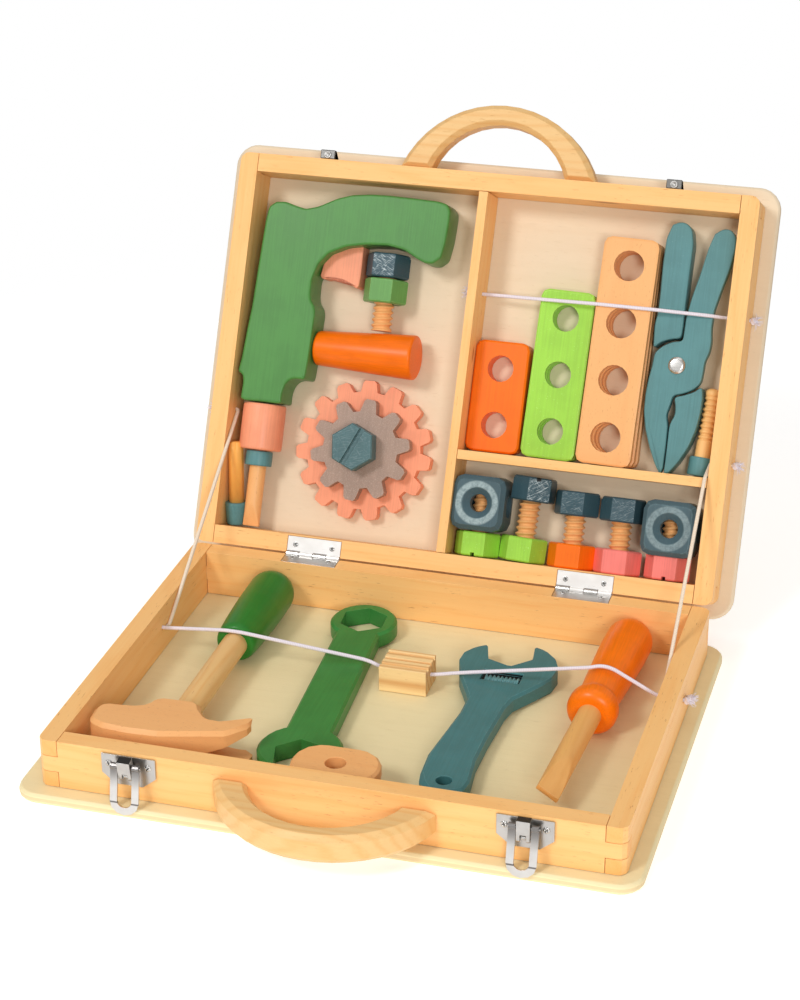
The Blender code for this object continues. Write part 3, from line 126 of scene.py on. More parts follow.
class Look:
    # builds the nodes of a material or of the world
    def __init__(self, owner):
        owner.use_nodes = True
        self.owner = owner
        self.tree = owner.node_tree
        self.tree.nodes.clear()

    def node(self, kind, settings, sockets):
        made = self.tree.nodes.new(kind)
        for key, value in settings.items():
            setattr(made, key, value)
        for key, value in sockets.items():
            if isinstance(value, Flow):
                self.tree.links.new(value.socket, made.inputs[key])
            else:
                made.inputs[key].default_value = value
        return made

    def add(self, kind, settings=None, sockets=None, output=0):
        return Flow(self, self.node(kind, settings or {}, sockets or {}).outputs[output])

    def place(self):
        # the point in millimetres in the part's own frame
        point = self.add("ShaderNodeTexCoord", output="Object")
        return self.add("ShaderNodeVectorMath", {"operation": "SCALE"}, {0: point, "Scale": 1000.0})

    def facing(self, direction):
        normal = self.add("ShaderNodeTexCoord", output="Normal")
        return self.along(normal, direction)

    def along(self, vector, direction):
        sockets = {0: vector, 1: tuple(direction)}
        return self.add("ShaderNodeVectorMath", {"operation": "DOT_PRODUCT"}, sockets, "Value")

    def axes(self, place, along, across=None, shift=0.0):
        # how far the point lies along three square directions
        across = across or along.orthogonal().normalized()
        return [self.along(place, axis) + shift for axis in (along, across, along.cross(across))]

    def apart(self, place, centre):
        return self.add("ShaderNodeVectorMath", {"operation": "SUBTRACT"}, {0: place, 1: centre})

    def reach(self, vector):
        return self.add("ShaderNodeVectorMath", {"operation": "LENGTH"}, {0: vector}, "Value")

    def join(self, x, y, z):
        return self.add("ShaderNodeCombineXYZ", {}, {0: x, 1: y, 2: z})

    def noise(self, vector, scale=1.0, detail=2.0, roughness=0.5):
        sockets = {"Vector": vector, "Scale": scale, "Detail": detail, "Roughness": roughness}
        return self.add("ShaderNodeTexNoise", {}, sockets)

    def tint(self, factor, low, high):
        return self.add("ShaderNodeMix", {"data_type": "RGBA"}, {"Factor": factor, 6: low, 7: high}, 2)

    def bump(self, height, distance, strength):
        return self.add("ShaderNodeBump", {}, {"Height": height, "Distance": distance, "Strength": strength})

    def surface(self, **sockets):
        named = {key.replace("_", " "): value for key, value in sockets.items()}
        shader = self.add("ShaderNodeBsdfPrincipled", {}, named)
        self.node("ShaderNodeOutputMaterial", {}, {"Surface": shader})
        return self.owner


newMaterial = bpy.data.materials.new


def tone(red, green, blue):
    parts = [value / 255 for value in (red, green, blue)]
    return (*(part / 12.92 if part <= 0.04045 else ((part + 0.055) / 1.055) ** 2.4 for part in parts), 1)


woodFields = ("pale", "warm", "fleck", "ringGap", "sway", "bands", "streaks", "flecks", "roughness")
woods = {
    "pine": ((250, 197, 128), (242, 165, 82), (170, 102, 50), 7.5, 1.5, 0.36, 0.55, 0.75, 0.5),
    "handle": ((234, 192, 130), (224, 162, 86), (180, 118, 64), 5.0, 1.2, 0.55, 0.5, 0.45, 0.45),
    "ply": ((232, 213, 184), (223, 201, 168), (198, 168, 124), 38.0, 3.0, 0.25, 0.4, 0.2, 0.55),
    "basePly": ((238, 222, 176), (227, 208, 158), (196, 172, 124), 44.0, 3.0, 0.25, 0.4, 0.2, 0.55),
    "driver": ((232, 176, 104), (214, 150, 74), (170, 112, 56), 6.0, 0.8, 0.4, 0.5, 0.3, 0.45),
    "golden": ((250, 182, 92), (240, 156, 62), (206, 128, 48), 9.0, 0.8, 0.2, 0.4, 0.2, 0.4),
    "beech": ((241, 180, 116), (230, 154, 90), (176, 106, 60), 16.0, 1.4, 0.25, 0.4, 0.7, 0.42),
    "block": ((250, 216, 156), (206, 138, 66), (160, 100, 50), 4.2, 0.35, 0.95, 0.4, 0.3, 0.5),
}


def woodFinish(name, kind, along, across, knots=(), shift=0.0, layers=None):
    use = dict(zip(woodFields, woods[kind]))
    pale, warm, dark = (tone(*use[field]) for field in woodFields[:3])
    look = Look(newMaterial(name))
    place = look.place()
    a, b, c = look.axes(place, along, across, shift)
    drift = look.noise(look.join(a * 0.011, b * 0.05, c * 0.05), 1.0, 2.0)
    ring = (b * 0.94 + c * 0.34) / use["ringGap"] + drift * (use["sway"] * 2)
    band = (ring * (2 * pi)).wave() * 0.5 + 0.5
    streak = look.noise(look.join(a * 0.018, b * 0.85, c * 0.85), 1.0, 4.0, 0.6)
    mask = band * band * (0.55 * use["bands"]) + (streak - 0.35) * (1.1 * use["streaks"])
    colour = look.tint(mask.ramp(-0.05, 1.0), pale, warm)
    # beech has short flecks nearly everywhere, the other woods long ones here and there
    long, fine = (0.42, 3.0) if kind == "beech" else (0.17, 2.1)
    fleck = look.noise(look.join(a * long, b * fine, c * fine), 1.0, 2.0).ramp(0.66, 0.74)
    rare = look.noise(look.join(a * 0.03, b * 0.09, c * 0.09), 1.0, 1.0).ramp(0.42, 0.6)
    if kind == "beech":
        rare = rare * 0.3 + 0.7
    colour = look.tint(fleck * rare * use["flecks"], colour, dark)
    end = look.facing(along).size().ramp(0.75, 0.95)
    colour = look.tint(end * 0.45, colour, warm)
    for centre, radius in knots:
        far, wide, deep = look.axes(look.apart(place, centre), along, across)
        far = far * 0.35
        knot = 1 - (far * far + wide * wide + deep * deep).calc("SQRT").ramp(radius * 0.4, radius * 1.5)
        colour = look.tint(knot * 0.75, colour, dark)
    if layers:
        low, thick, axis = layers
        level = (look.along(place, axis) - low) / thick
        inner = (level - 0.5).size().ramp(0.14, 0.19)
        rim = 1 - look.facing(axis).size().ramp(0.3, 0.6)
        colour = look.tint((1 - inner) * rim * 0.3, colour, tone(196, 150, 100))
    height = streak * 0.6 + band * 0.3 - fleck * 0.8
    rough = streak * 0.16 + (use["roughness"] - 0.08)
    normal = look.bump(height, 0.00018, 0.55)
    return look.surface(Base_Color=colour, Roughness=rough, Normal=normal, Specular_IOR_Level=0.35)


# colour, lighter colour where worn that is also the painted highlight on edges, roughness, share of specks
paints = {
    "drillGreen": ((80, 141, 68), (118, 172, 98), 0.36, 0.05),
    "toolGreen": ((60, 134, 62), (84, 152, 80), 0.38, 0.04),
    "gripGreen": ((44, 124, 42), (70, 150, 78), 0.34, 0.0),
    "nutGreen": ((104, 160, 84), (136, 186, 110), 0.4, 0.1),
    "brightGreen": ((162, 220, 74), (186, 236, 120), 0.42, 0.4),
    "orange": ((255, 117, 0), (255, 142, 34), 0.38, 0.08),
    "brightOrange": ((255, 122, 0), (255, 146, 30), 0.34, 0.0),
    "pink": ((252, 162, 124), (255, 186, 150), 0.42, 0.12),
    "rosePink": ((252, 134, 124), (255, 160, 146), 0.42, 0.1),
    "teal": ((92, 142, 145), (126, 170, 172), 0.44, 0.18),
    "wrenchTeal": ((69, 124, 127), (93, 146, 149), 0.46, 0.03),
    "darkTeal": ((54, 82, 92), (98, 128, 134), 0.34, 0.2),
    "cubeTeal": ((74, 98, 106), (92, 118, 124), 0.44, 0.15),
    "gearTeal": ((80, 112, 116), (112, 142, 146), 0.42, 0.2),
    "greyBrown": ((170, 143, 128), (210, 188, 172), 0.5, 0.2),
}


def paintFinish(name, kind, along, wearAndSheen=False, fibre=None, ring=None, hollowShade=None, shift=0.0):
    fresh, rubbedAndLit, roughness, specks = paints[kind]
    look = Look(newMaterial(name))
    place = look.place()
    a, b, c = look.axes(place, along, None, shift)
    base, pale = tone(*fresh), tone(*rubbedAndLit)
    deep = (*(part * 0.86 for part in base[:3]), 1)
    mottle = look.noise(place, 0.07, 3.0)
    grain = look.noise(look.join(a * 0.03, b * 1.1, c * 1.1), 1.0, 3.0, 0.6)
    colour = look.tint((mottle * 0.5 + grain * 0.5).ramp(0.36, 0.64), deep, base)
    # wear and painted highlight: edges are mottled lighter, for rubbed paint and for sheen on lit edges
    if wearAndSheen:
        scuffAndSheen = look.noise(place, 0.55, 3.0).ramp(0.3, 0.75)
        colour = look.tint(scuffAndSheen * 0.75 + 0.1, colour, pale)
    if specks:
        speck = look.noise(place, 1.25, 2.0).ramp(0.66, 0.74)
        colour = look.tint(speck * specks * 2, colour, pale)
    else:
        grain = grain * 0.25 + 0.375
    height = grain * 0.5 + mottle * 0.2
    rough = mottle * 0.1 + (roughness - 0.05)
    if kind == "greyBrown":
        cloth = look.noise(place, 2.2, 3.0, 0.7)
        colour = look.tint(cloth.ramp(0.5, 0.7) * 0.5, colour, pale)
        height = height + cloth * 0.6
    if fibre:
        # two crossing sets of fine hairs, real wear, on the side that faces direction, where they are
        # also a painted highlight of that lit side
        direction, strength, lean = fibre
        slant, square = b + a * lean, a - b * lean
        hair = look.noise(look.join(slant * 0.16, square * 1.9, c * 0.3), 1.0, 3.0, 0.6).ramp(0.5, 0.72)
        second = look.noise(look.join(slant * 1.5, square * 0.14, c * 0.3), 1.0, 3.0, 0.6).ramp(0.56, 0.76)
        sheenSide = look.facing(direction).ramp(0.85, 0.96)
        colour = look.tint((hair + second) * sheenSide * strength, colour, tone(198, 212, 214))
    if ring:
        # a pale ring between two radii about the axis
        centre, axis, inner, outer, bright = ring
        away = look.apart(place, centre)
        onAxis = look.along(away, axis)
        full = look.reach(away)
        radius = (full * full - onAxis * onAxis).calc("SQRT")
        band = radius.ramp(inner - 0.5, inner + 0.5) * (1 - radius.ramp(outer - 0.9, outer + 0.3))
        front = look.facing(axis).ramp(0.45, 0.8)
        cloudy = look.noise(place, 0.5, 4.0, 0.8).ramp(0.3, 0.7) * 0.5 + 0.35
        colour = look.tint(band * front * cloudy * bright, colour, tone(176, 196, 198))
    if hollowShade:
        # painted shade of a hollow: dark within reach of the centre on each side, down to depth below it
        # along end
        centre, sides, end, depth = hollowShade
        away = look.apart(place, centre)
        inside = look.along(away, end).ramp(-depth, 0.3 - depth)
        for side, reach in sides:
            inside = inside * (1 - look.along(away, side).size().ramp(reach - 0.3, reach))
        colour = look.tint(inside, colour, tone(16, 20, 22))
    return look.surface(
        Base_Color=colour, Roughness=rough, Normal=look.bump(height, 0.00012, 0.5),
        Specular_IOR_Level=0.28, Coat_Weight=0.06, Coat_Roughness=0.25,
    )


def metalFinish(name, along, shade=200, roughness=0.24, metallic=1.0, darkTop=0.0, fade=None):
    look = Look(newMaterial(name))
    place = look.place()
    a, b, c = look.axes(place, along)
    brushed = look.noise(look.join(a * 0.12, b * 4.0, c * 4.0), 1.0, 3.0)
    dull = tone(shade - 5, shade - 7, shade - 10)
    clear = tone(shade + 5, shade + 4, shade + 2)
    colour = look.tint(look.noise(place, 0.12, 2.0).ramp(0.3, 0.7), dull, clear)
    # painted shade: faces turned up are darkened, for the shaded opening at the lever's top
    if darkTop:
        colour = look.tint(look.facing(up).ramp(0.5, 0.8) * darkTop, colour, tone(36, 32, 32))
    if fade:
        # painted reflection: darker towards the upper end, and painted shade: a dark line at the bend
        low, high, crease = fade
        level = look.along(place, up)
        line = 1 - (level - crease).size().ramp(0.2, 0.6)
        colour = look.tint(level.ramp(low, high) * 0.7, colour, tone(70, 62, 60))
        colour = look.tint(line * 0.8, colour, tone(60, 52, 52))
    rough = brushed * 0.12 + roughness
    normal = look.bump(brushed, 0.00001, 0.2)
    return look.surface(Base_Color=colour, Roughness=rough, Metallic=metallic, Normal=normal)


def cordFinish(name, dim, light):
    look = Look(newMaterial(name))
    uv = look.add("ShaderNodeTexCoord", output="UV")
    parts = look.node("ShaderNodeSeparateXYZ", {}, {0: uv})
    length = Flow(look, parts.outputs[0])
    turn = Flow(look, parts.outputs[1])
    left = ((length * 0.55 + turn * 3.0) * (2 * pi)).wave()
    other = ((length * 0.55 - turn * 3.0) * (2 * pi)).wave()
    plait = left * other * 0.5 + 0.5
    fuzz = look.noise(look.place(), 3.0, 3.0)
    colour = look.tint(plait * 0.7 + fuzz * 0.3, dim, light)
    normal = look.bump(plait + fuzz * 0.4, 0.0002, 0.8)
    return look.surface(Base_Color=colour, Roughness=0.8, Normal=normal, Sheen_Weight=0.2)


# Making meshes
def added(name, data):
    made = bpy.data.objects.new(name, data)
    bpy.context.scene.collection.objects.link(made)
    return made


def placed(name, mesh, cleaned):
    # the cleaned mesh, smooth all over, as a piece
    for face in cleaned.faces:
        face.smooth = True
    cleaned.to_mesh(mesh)
    cleaned.free()
    return added(name, mesh)


def newPiece(name, points, faces, where=Matrix.Identity(4)):
    turn = np.array(where.to_3x3())
    points = np.asarray(points, float).reshape(-1, 3) * mm @ turn.T + np.array(where.translation)
    mesh = bpy.data.meshes.new(name)
    mesh.from_pydata(points.tolist(), [], faces)
    cleaned = bmesh.new()
    cleaned.from_mesh(mesh)
    bmesh.ops.remove_doubles(cleaned, verts=cleaned.verts, dist=1e-7)
    bmesh.ops.recalc_face_normals(cleaned, faces=cleaned.faces)
    return placed(name, mesh, cleaned)


def gridFaces(rows, columns):
    # quads between neighbouring rows, closing round the columns
    i = np.arange(rows - 1)[:, None]
    j = np.arange(columns)[None, :]
    k = (j + 1) % columns
    corners = (i * columns + j, i * columns + k, (i + 1) * columns + k, (i + 1) * columns + j)
    return np.stack(np.broadcast_arrays(*corners), -1).reshape(-1, 4).tolist()


def softProfile(points, radius, steps=4, most=0.48):
    # each inner corner becomes a parabola that starts radius before it and ends radius after it, or the share
    # most of a short side: start (1 - s) squared + corner 2s (1 - s) + end s squared
    points = [np.array(point, float) for point in points]
    smooth = [points[0]]
    for before, here, after in zip(points, points[1:], points[2:]):
        one, two = before - here, after - here
        near, far = np.linalg.norm(one), np.linalg.norm(two)
        reach = min(radius, near * most, far * most)
        start, end = here + one / near * reach, here + two / far * reach
        for share in np.linspace(0, 1, steps + 1):
            smooth.append(start * (1 - share) ** 2 + here * 2 * share * (1 - share) + end * share**2)
    return np.array(smooth + [points[-1]])


def angles(sides):
    return np.linspace(0, 2 * pi, sides, endpoint=False)[None, :]


def swept(r, t, z):
    # radius r at angle t and height z: (r cos t, r sin t, z)
    return np.stack((r * np.cos(t), r * np.sin(t), z + 0 * t), -1)


def turnedPiece(name, profile, where, sides=64, shape=None):
    # a profile of (radius, height) swept once round
    profile = np.asarray(profile, float)
    points = swept(profile[:, :1], angles(sides), profile[:, 1:])
    if shape:
        points = shape(points)
    return newPiece(name, points, gridFaces(len(profile), sides), where)


def threadedPiece(name, use, start, end, where, sides=40):
    # radius less depth times (0.5 - 0.5 cos phase) to the power sharp, faded out near both ends; the phase
    # goes round once for each pitch, less turns times the angle
    steps = int((end - start) / use["pitch"] * 14)
    z = np.linspace(start, end, steps)[:, None]
    t = angles(sides)
    phase = z / use["pitch"] * 2 * pi - t * use["turns"]
    edge = np.minimum(1, np.minimum(z - use.get("plain", start), end - z) / use["fade"]).clip(0)
    r = use["radius"] - use["depth"] * edge * (0.5 - 0.5 * np.cos(phase)) ** use["sharp"]
    caps = [np.zeros((1, sides, 3)) + np.array((0, 0, level)) for level in (start, end)]
    points = np.concatenate((caps[0], swept(r, t, z), caps[1]))
    return newPiece(name, points, gridFaces(steps + 2, sides), where)


def slab(outline, low, high, ease):
    # rings of the outline from low to high; near both faces they step in along a quarter circle
    outline = np.asarray(outline, float)
    count = len(outline)
    before, after = np.roll(outline, 1, 0), np.roll(outline, -1, 0)
    run = after - before
    turn = np.sign(np.sum(outline[:, 0] * after[:, 1] - outline[:, 1] * after[:, 0]))
    inward = np.stack((-run[:, 1], run[:, 0]), -1) / np.linalg.norm(run, axis=1)[:, None] * turn
    steps = [(ease * (1 - cos(t)), high - ease * (1 - sin(t))) for t in np.linspace(0, pi / 2, 5)]
    steps = [(step, low + high - level) for step, level in steps[::-1]] + steps
    rings = [np.column_stack((outline + inward * step, np.full(count, level))) for step, level in steps]
    last = count * (len(rings) - 1)
    faces = gridFaces(len(rings), count) + [list(range(count))[::-1], list(range(last, last + count))]
    return np.concatenate(rings), faces


def smoothOutline(points, radius, steps=4):
    # a closed outline with every corner eased but the second, where it closes
    return softProfile([*points, *points[:2]], radius, steps)[steps + 2:]


def slabPiece(name, runs, corner, where):
    # each run is (outline, low, high, ease); flat faces stay flat and the eased rims are smooth
    points, faces = [], []
    for outline, low, high, ease in runs:
        shift = sum(len(part) for part in points)
        made, quads = slab(smoothOutline(outline, corner), low, high, ease)
        points.append(made)
        faces += [[place + shift for place in quad] for quad in quads]
    piece = newPiece(name, np.concatenate(points), faces, where)
    for polygon in piece.data.polygons:
        polygon.use_smooth = len(polygon.vertices) == 4
    return piece


bevelLook = {"merge": 2e-6, "flat": 0.8, "sharp": 24, "hollow": 0.6}


def easedPiece(
    name, node, width, segments=3, rim=None, side=0.35, where=None, drop=None, split=None, wearAndSheen=True,
    shape=None,
):
    # the solid's own form with its corners rounded over: edges between a face square to rim and a side get
    # the whole width, other edges the share named side, and hollow ones less; drop takes faces out, split
    # numbers the finish of each face, shape moves the corners, and, when asked, the eased edges take the
    # second
    # finish: wear with a painted highlight
    cleaned = bmesh.new()
    cleaned.from_mesh(frame["nodes"][node].data)
    bmesh.ops.remove_doubles(cleaned, verts=cleaned.verts, dist=bevelLook["merge"])
    inverse = where.inverted() if where else None
    if drop:
        local = {v: inverse @ v.co / mm for v in cleaned.verts}
        gone = [f for f in cleaned.faces if all(drop(local[v]) for v in f.verts)]
        bmesh.ops.delete(cleaned, geom=gone, context="FACES")
        bmesh.ops.holes_fill(cleaned, edges=[e for e in cleaned.edges if e.is_boundary], sides=0)
    flat = radians(bevelLook["flat"])
    bmesh.ops.dissolve_limit(cleaned, angle_limit=flat, verts=cleaned.verts, edges=cleaned.edges)
    bmesh.ops.recalc_face_normals(cleaned, faces=cleaned.faces)
    weight = cleaned.edges.layers.float.new("bevel_weight_edge")
    for edge in cleaned.edges:
        if len(edge.link_faces) == 2 and edge.calc_face_angle() > radians(bevelLook["sharp"]):
            tilts = sorted(abs(face.normal.dot(rim)) for face in edge.link_faces) if rim else (0, 1)
            edge[weight] = 1 if tilts[0] < 0.5 and tilts[1] > 0.9 else side
            if not edge.is_convex:
                edge[weight] = side * bevelLook["hollow"]
    if shape:
        for vertex in cleaned.verts:
            vertex.co = where @ (Vector(shape(*(inverse @ vertex.co / mm))) * mm)
    for face in cleaned.faces:
        face.material_index = split(inverse @ face.calc_center_median() / mm) if split else 0
    piece = placed(name, bpy.data.meshes.new(name), cleaned)
    if "custom_normal" in piece.data.attributes:
        piece.data.attributes.remove(piece.data.attributes["custom_normal"])
    ease = piece.modifiers.new("ease", "BEVEL")
    ease.width = width * mm
    ease.segments = segments
    ease.limit_method = "WEIGHT"
    ease.harden_normals = True
    ease.miter_outer = "MITER_ARC"
    # the bevel's faces take the second finish: wear with a painted highlight
    if wearAndSheen:
        ease.material = 1
    return piece


def movedCorners(pairs):
    # corners of the solid at (x, y) are set at the photo's (x, y), at every height
    def shape(x, y, z):
        for fromX, fromY, toX, toY in pairs:
            if abs(x - fromX) + abs(y - fromY) < 0.35:
                return toX, toY, z
        return x, y, z
    return shape


def dress(piece, slot, *finishes, body=None, node=None, like=None):
    # gives the piece its finishes and its body, and hides the solid that it stands for
    for finish in finishes:
        piece.data.materials.append(finish)
    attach(piece, body or frame["nodes"][like or node]["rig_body"])
    if node:
        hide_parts(node)


def camel(node):
    # a node's name as a piece's name: large_gear becomes largeGear
    first, *others = node.split("_")
    return first + "".join(part.capitalize() for part in others)


def painted(node, kind, slot, along, width=0.7, rim=None, fibre=None, ring=None, hollowShade=None, **more):
    name = camel(node)
    piece = easedPiece(name, node, width, 3, rim, **more)
    flat = paintFinish(name + "Paint", kind, along, fibre=fibre, ring=ring, hollowShade=hollowShade)
    # the edge finish is lighter: wear with a painted highlight on the eased edges
    edge = paintFinish(name + "Edge", kind, along, wearAndSheen=True, fibre=fibre, ring=ring)
    dress(piece, slot, flat, edge, node=node)


def wooden(node, kind, slot, along, across, width=0.5, rim=None, side=1.0, where=None, shape=None, **more):
    name = camel(node)
    piece = easedPiece(name, node, width, 3, rim, side, where, wearAndSheen=False, shape=shape)
    dress(piece, slot, woodFinish(name + "Wood", kind, along, across, **more), node=node)


def metalPiece(node, along, width=0.2, **more):
    name = camel(node)
    piece = easedPiece(name, node, width, 2, wearAndSheen=False, side=1.0)
    dress(piece, "nickel_steel", metalFinish(name + "Metal", along, **more), node=node)


def coated(piece, node, slot, kind, along=lidU, **more):
    # one finish all over, a paint or a wood by its kind
    if kind in paints:
        finish = paintFinish(piece.name + "Paint", kind, along, **more)
    else:
        finish = woodFinish(piece.name + "Wood", kind, along, right, **more)
    dress(piece, slot, finish, node=node)


def turnedTool(name, node, slot, kind, profile, ease, where, along=lidU, sides=64, steps=4, **more):
    # a profile with eased corners swept once round
    piece = turnedPiece(name, softProfile(profile, ease, steps), where, sides)
    coated(piece, node, slot, kind, along, **more)
# The case: plywood panels, pine boards and bow handles
boardEase = 0.15
panelLook = {"thick": 5.5, "leftReach": 3.4, "frontReach": 1.0, "leftFrom": -140}
lidPanelLow = (lidOrigin / mm).dot(lidN) - panelLook["thick"]


def widerLeft(x, y, z):
    # the photo's panels stand out further on the left: x less leftReach, and y less frontReach at the front
    if x >= panelLook["leftFrom"]:
        return x, y, z
    return x - panelLook["leftReach"], y - panelLook["frontReach"] * (y < 0), z


wooden(
    "base_panel", "basePly", "ply_panel", right, back, 0.9, up, 0.5,
    where=trays["base"], shape=widerLeft, layers=(0.0, panelLook["thick"], up),
)
wooden(
    "lid_panel", "ply", "ply_panel", right, lidU, 0.9, lidN, 0.5,
    where=trays["lid"], shape=widerLeft, layers=(lidPanelLow, panelLook["thick"], lidN), shift=57.0,
)
boards = {
    "base_front_board": (right, up, 0.0), "base_back_board": (right, up, 31.0),
    "base_left_board": (back, up, 63.0), "base_right_board": (back, up, 94.0),
    "lid_front_board": (right, lidN, 127.0), "lid_back_board": (right, lidN, 158.0),
    "lid_left_board": (lidU, lidN, 190.0), "lid_right_board": (lidU, lidN, 222.0),
    "lid_divider": (lidU, lidN, 251.0), "lid_shelf": (right, lidN, 283.0),
}


def knotAt(tray, place, radius):
    return [(tuple(spot(tray, place).translation / mm), radius)]


boardKnots = {
    "lid_front_board": knotAt("lid", (-5, 208, 20), 2.2) + knotAt("lid", (62, 208, 21), 2.6),
    "lid_divider": knotAt("lid", (-2.3, 120, 16), 1.6),
}
for node, (along, across, shift) in boards.items():
    wooden(node, "pine", "pine", along, across, boardEase, shift=shift, knots=boardKnots.get(node, ()))
handleLook = {"middle": 13.5, "thicker": 1.17, "wider": 1.018}


def fuller(x, y, z):
    # the photo's bow is fuller: z away from the bow's middle times thicker, and x times wider
    middle = handleLook["middle"]
    return x * handleLook["wider"], y, middle + (z - middle) * handleLook["thicker"]
for tray, along, acrossTo, shift in (("base", right, back, 12.0), ("lid", right, lidU, 44.0)):
    wooden(
        tray + "_handle", "handle", "pine", along, acrossTo, 1.5, trays[tray].to_3x3() @ up, 0.2,
        where=trays[tray], shape=fuller, shift=shift,
    )
wooden("cord_block", "block", "pine", right, back, 0.4)
print("case made")


# Cords: plaited elastic in a mesh tube, with a knot and a frayed tuft at each end
cordLook = {"radius": 1.0, "sides": 14, "corner": 4.0, "knot": 2.3, "strands": 22, "strandLength": 4.2}
cordWhite = cordFinish("plaitedElastic", tone(214, 204, 220), tone(250, 245, 250))
stayCream = cordFinish("plaitedStay", tone(228, 204, 176), tone(252, 238, 220))


def softRoute(route, corner, spacing=1.5):
    # corners become parabolas, then the line is cut into even steps
    line = softProfile(route, corner, 6, 0.45)
    lengths = np.concatenate(([0], np.cumsum(np.linalg.norm(np.diff(line, axis=0), axis=1))))
    even = np.linspace(0, lengths[-1], max(8, int(lengths[-1] / spacing)))
    return np.stack([np.interp(even, lengths, line[:, axis]) for axis in range(3)], -1)


def besideAndOver(line, level):
    # directions square to the line; level is a direction that no part of the line follows
    ahead = np.gradient(line, axis=0)
    ahead /= np.linalg.norm(ahead, axis=1)[:, None]
    side = np.cross(ahead, level)
    side /= np.linalg.norm(side, axis=1)[:, None]
    return side, np.cross(side, ahead)


def tubePoints(line, radius, sides, level):
    # a ring about each point: radius times (cos t beside + sin t over)
    side, over = besideAndOver(line, level)
    t = angles(sides)[..., None]
    radius = np.broadcast_to(radius, len(line))[:, None, None]
    return line[:, None] + radius * (np.cos(t) * side[:, None] + np.sin(t) * over[:, None])


def cordTube(name, route, level, finish, corner=None):
    # a closed tube; its UV is (length along the cord in mm, share of a turn)
    line = softRoute(route, corner or cordLook["corner"])
    sides = cordLook["sides"]
    ends = [np.repeat(line[k][None, None], sides, 1) for k in (0, -1)]
    points = np.concatenate((ends[0], tubePoints(line, cordLook["radius"], sides, level), ends[1]))
    piece = newPiece(name, points, gridFaces(len(line) + 2, sides))
    where = np.zeros(len(piece.data.vertices) * 3)
    piece.data.vertices.foreach_get("co", where)
    where = where.reshape(-1, 3) / mm
    near = np.linalg.norm(where[:, None] - line[None], axis=2).argmin(1)
    step = np.linalg.norm(np.diff(line, axis=0), axis=1).mean()
    side, over = (part[near] for part in besideAndOver(line, level))
    off = where - line[near]
    angle = np.arctan2((off * over).sum(1), (off * side).sum(1)) / (2 * pi) % 1
    loops = np.zeros(len(piece.data.loops), np.int32)
    piece.data.loops.foreach_get("vertex_index", loops)
    start = np.zeros(len(piece.data.polygons), np.int32)
    total = start.copy()
    piece.data.polygons.foreach_get("loop_start", start)
    piece.data.polygons.foreach_get("loop_total", total)
    # a face that crosses the start of the turn takes 1 more where its angle is small
    high = np.maximum.reduceat(angle[loops], start)
    v = angle[loops] + (np.repeat(high, total) - angle[loops] > 0.5)
    uv = piece.data.uv_layers.new(name="UVMap")
    uv.data.foreach_set("uv", np.stack((near[loops] * step, v), -1).ravel())
    piece.data.materials.append(finish)
    return piece, line


def cordEnd(name, place, outward, body, seed):
    # a knot of radius size times (0.86 + 0.16 sin(3t + 4f) sin f), and loose strands that bend away with the
    # square of the share along them
    random = np.random.default_rng(seed)
    size = cordLook["knot"]
    t = angles(28)
    f = np.linspace(0, pi, 15)[:, None]
    r = size * (0.86 + 0.16 * np.sin(3 * t + 4 * f) * np.sin(f))
    knot = np.stack((r * np.cos(f), r * np.sin(f) * np.cos(t), r * np.sin(f) * np.sin(t)), -1)
    points, faces = [knot.reshape(-1, 3)], gridFaces(15, 28)
    count = knot.size // 3
    for _ in range(cordLook["strands"]):
        away = np.array((0.75, *random.normal(0, 0.62, 2)))
        away /= np.linalg.norm(away)
        curl = np.cross(away, random.normal(0, 1, 3)) * 0.35
        share = np.linspace(0, 1, 5)[:, None]
        reach = cordLook["strandLength"] * random.uniform(0.6, 1.0)
        line = away * (size * 0.55 + reach * share) + curl * reach * share**2
        width = 0.3 * (1 - share[:, 0] * 0.7)
        strand = tubePoints(line, width, 5, np.array((0.31, 0.52, -0.79)))
        closed = np.concatenate((np.repeat(line[:1, None], 5, 1), strand, np.repeat(line[-1:, None], 5, 1)))
        points.append(closed.reshape(-1, 3))
        faces += (np.array(gridFaces(7, 5)) + count).tolist()
        count += closed.size // 3
    points = np.concatenate(points) * np.array((outward[0] or 1, 1, 1)) + np.asarray(place)
    piece = newPiece(name, points, faces)
    piece.data.materials.append(cordWhite)
    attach(piece, body)
    return piece


def tiedCord(name, node, tray, route, level, body, bodyEnd=None, corner=None, seed=1):
    points = [tuple(spot(tray, point).translation / mm) for point in route] if tray else route
    piece, line = cordTube(name, points, level, stayCream if bodyEnd else cordWhite, corner)
    for label, place, other, rides in (("Start", 0, 1, body), ("End", -1, -2, bodyEnd or body)):
        outward = np.sign(line[place] - line[other])
        tip = line[place] - outward * (0.4, 0, 0)
        cordEnd(name + label, tip, outward, rides, seed + abs(place))
    if bodyEnd:
        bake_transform(piece)
    else:
        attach(piece, body)
    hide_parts(node)


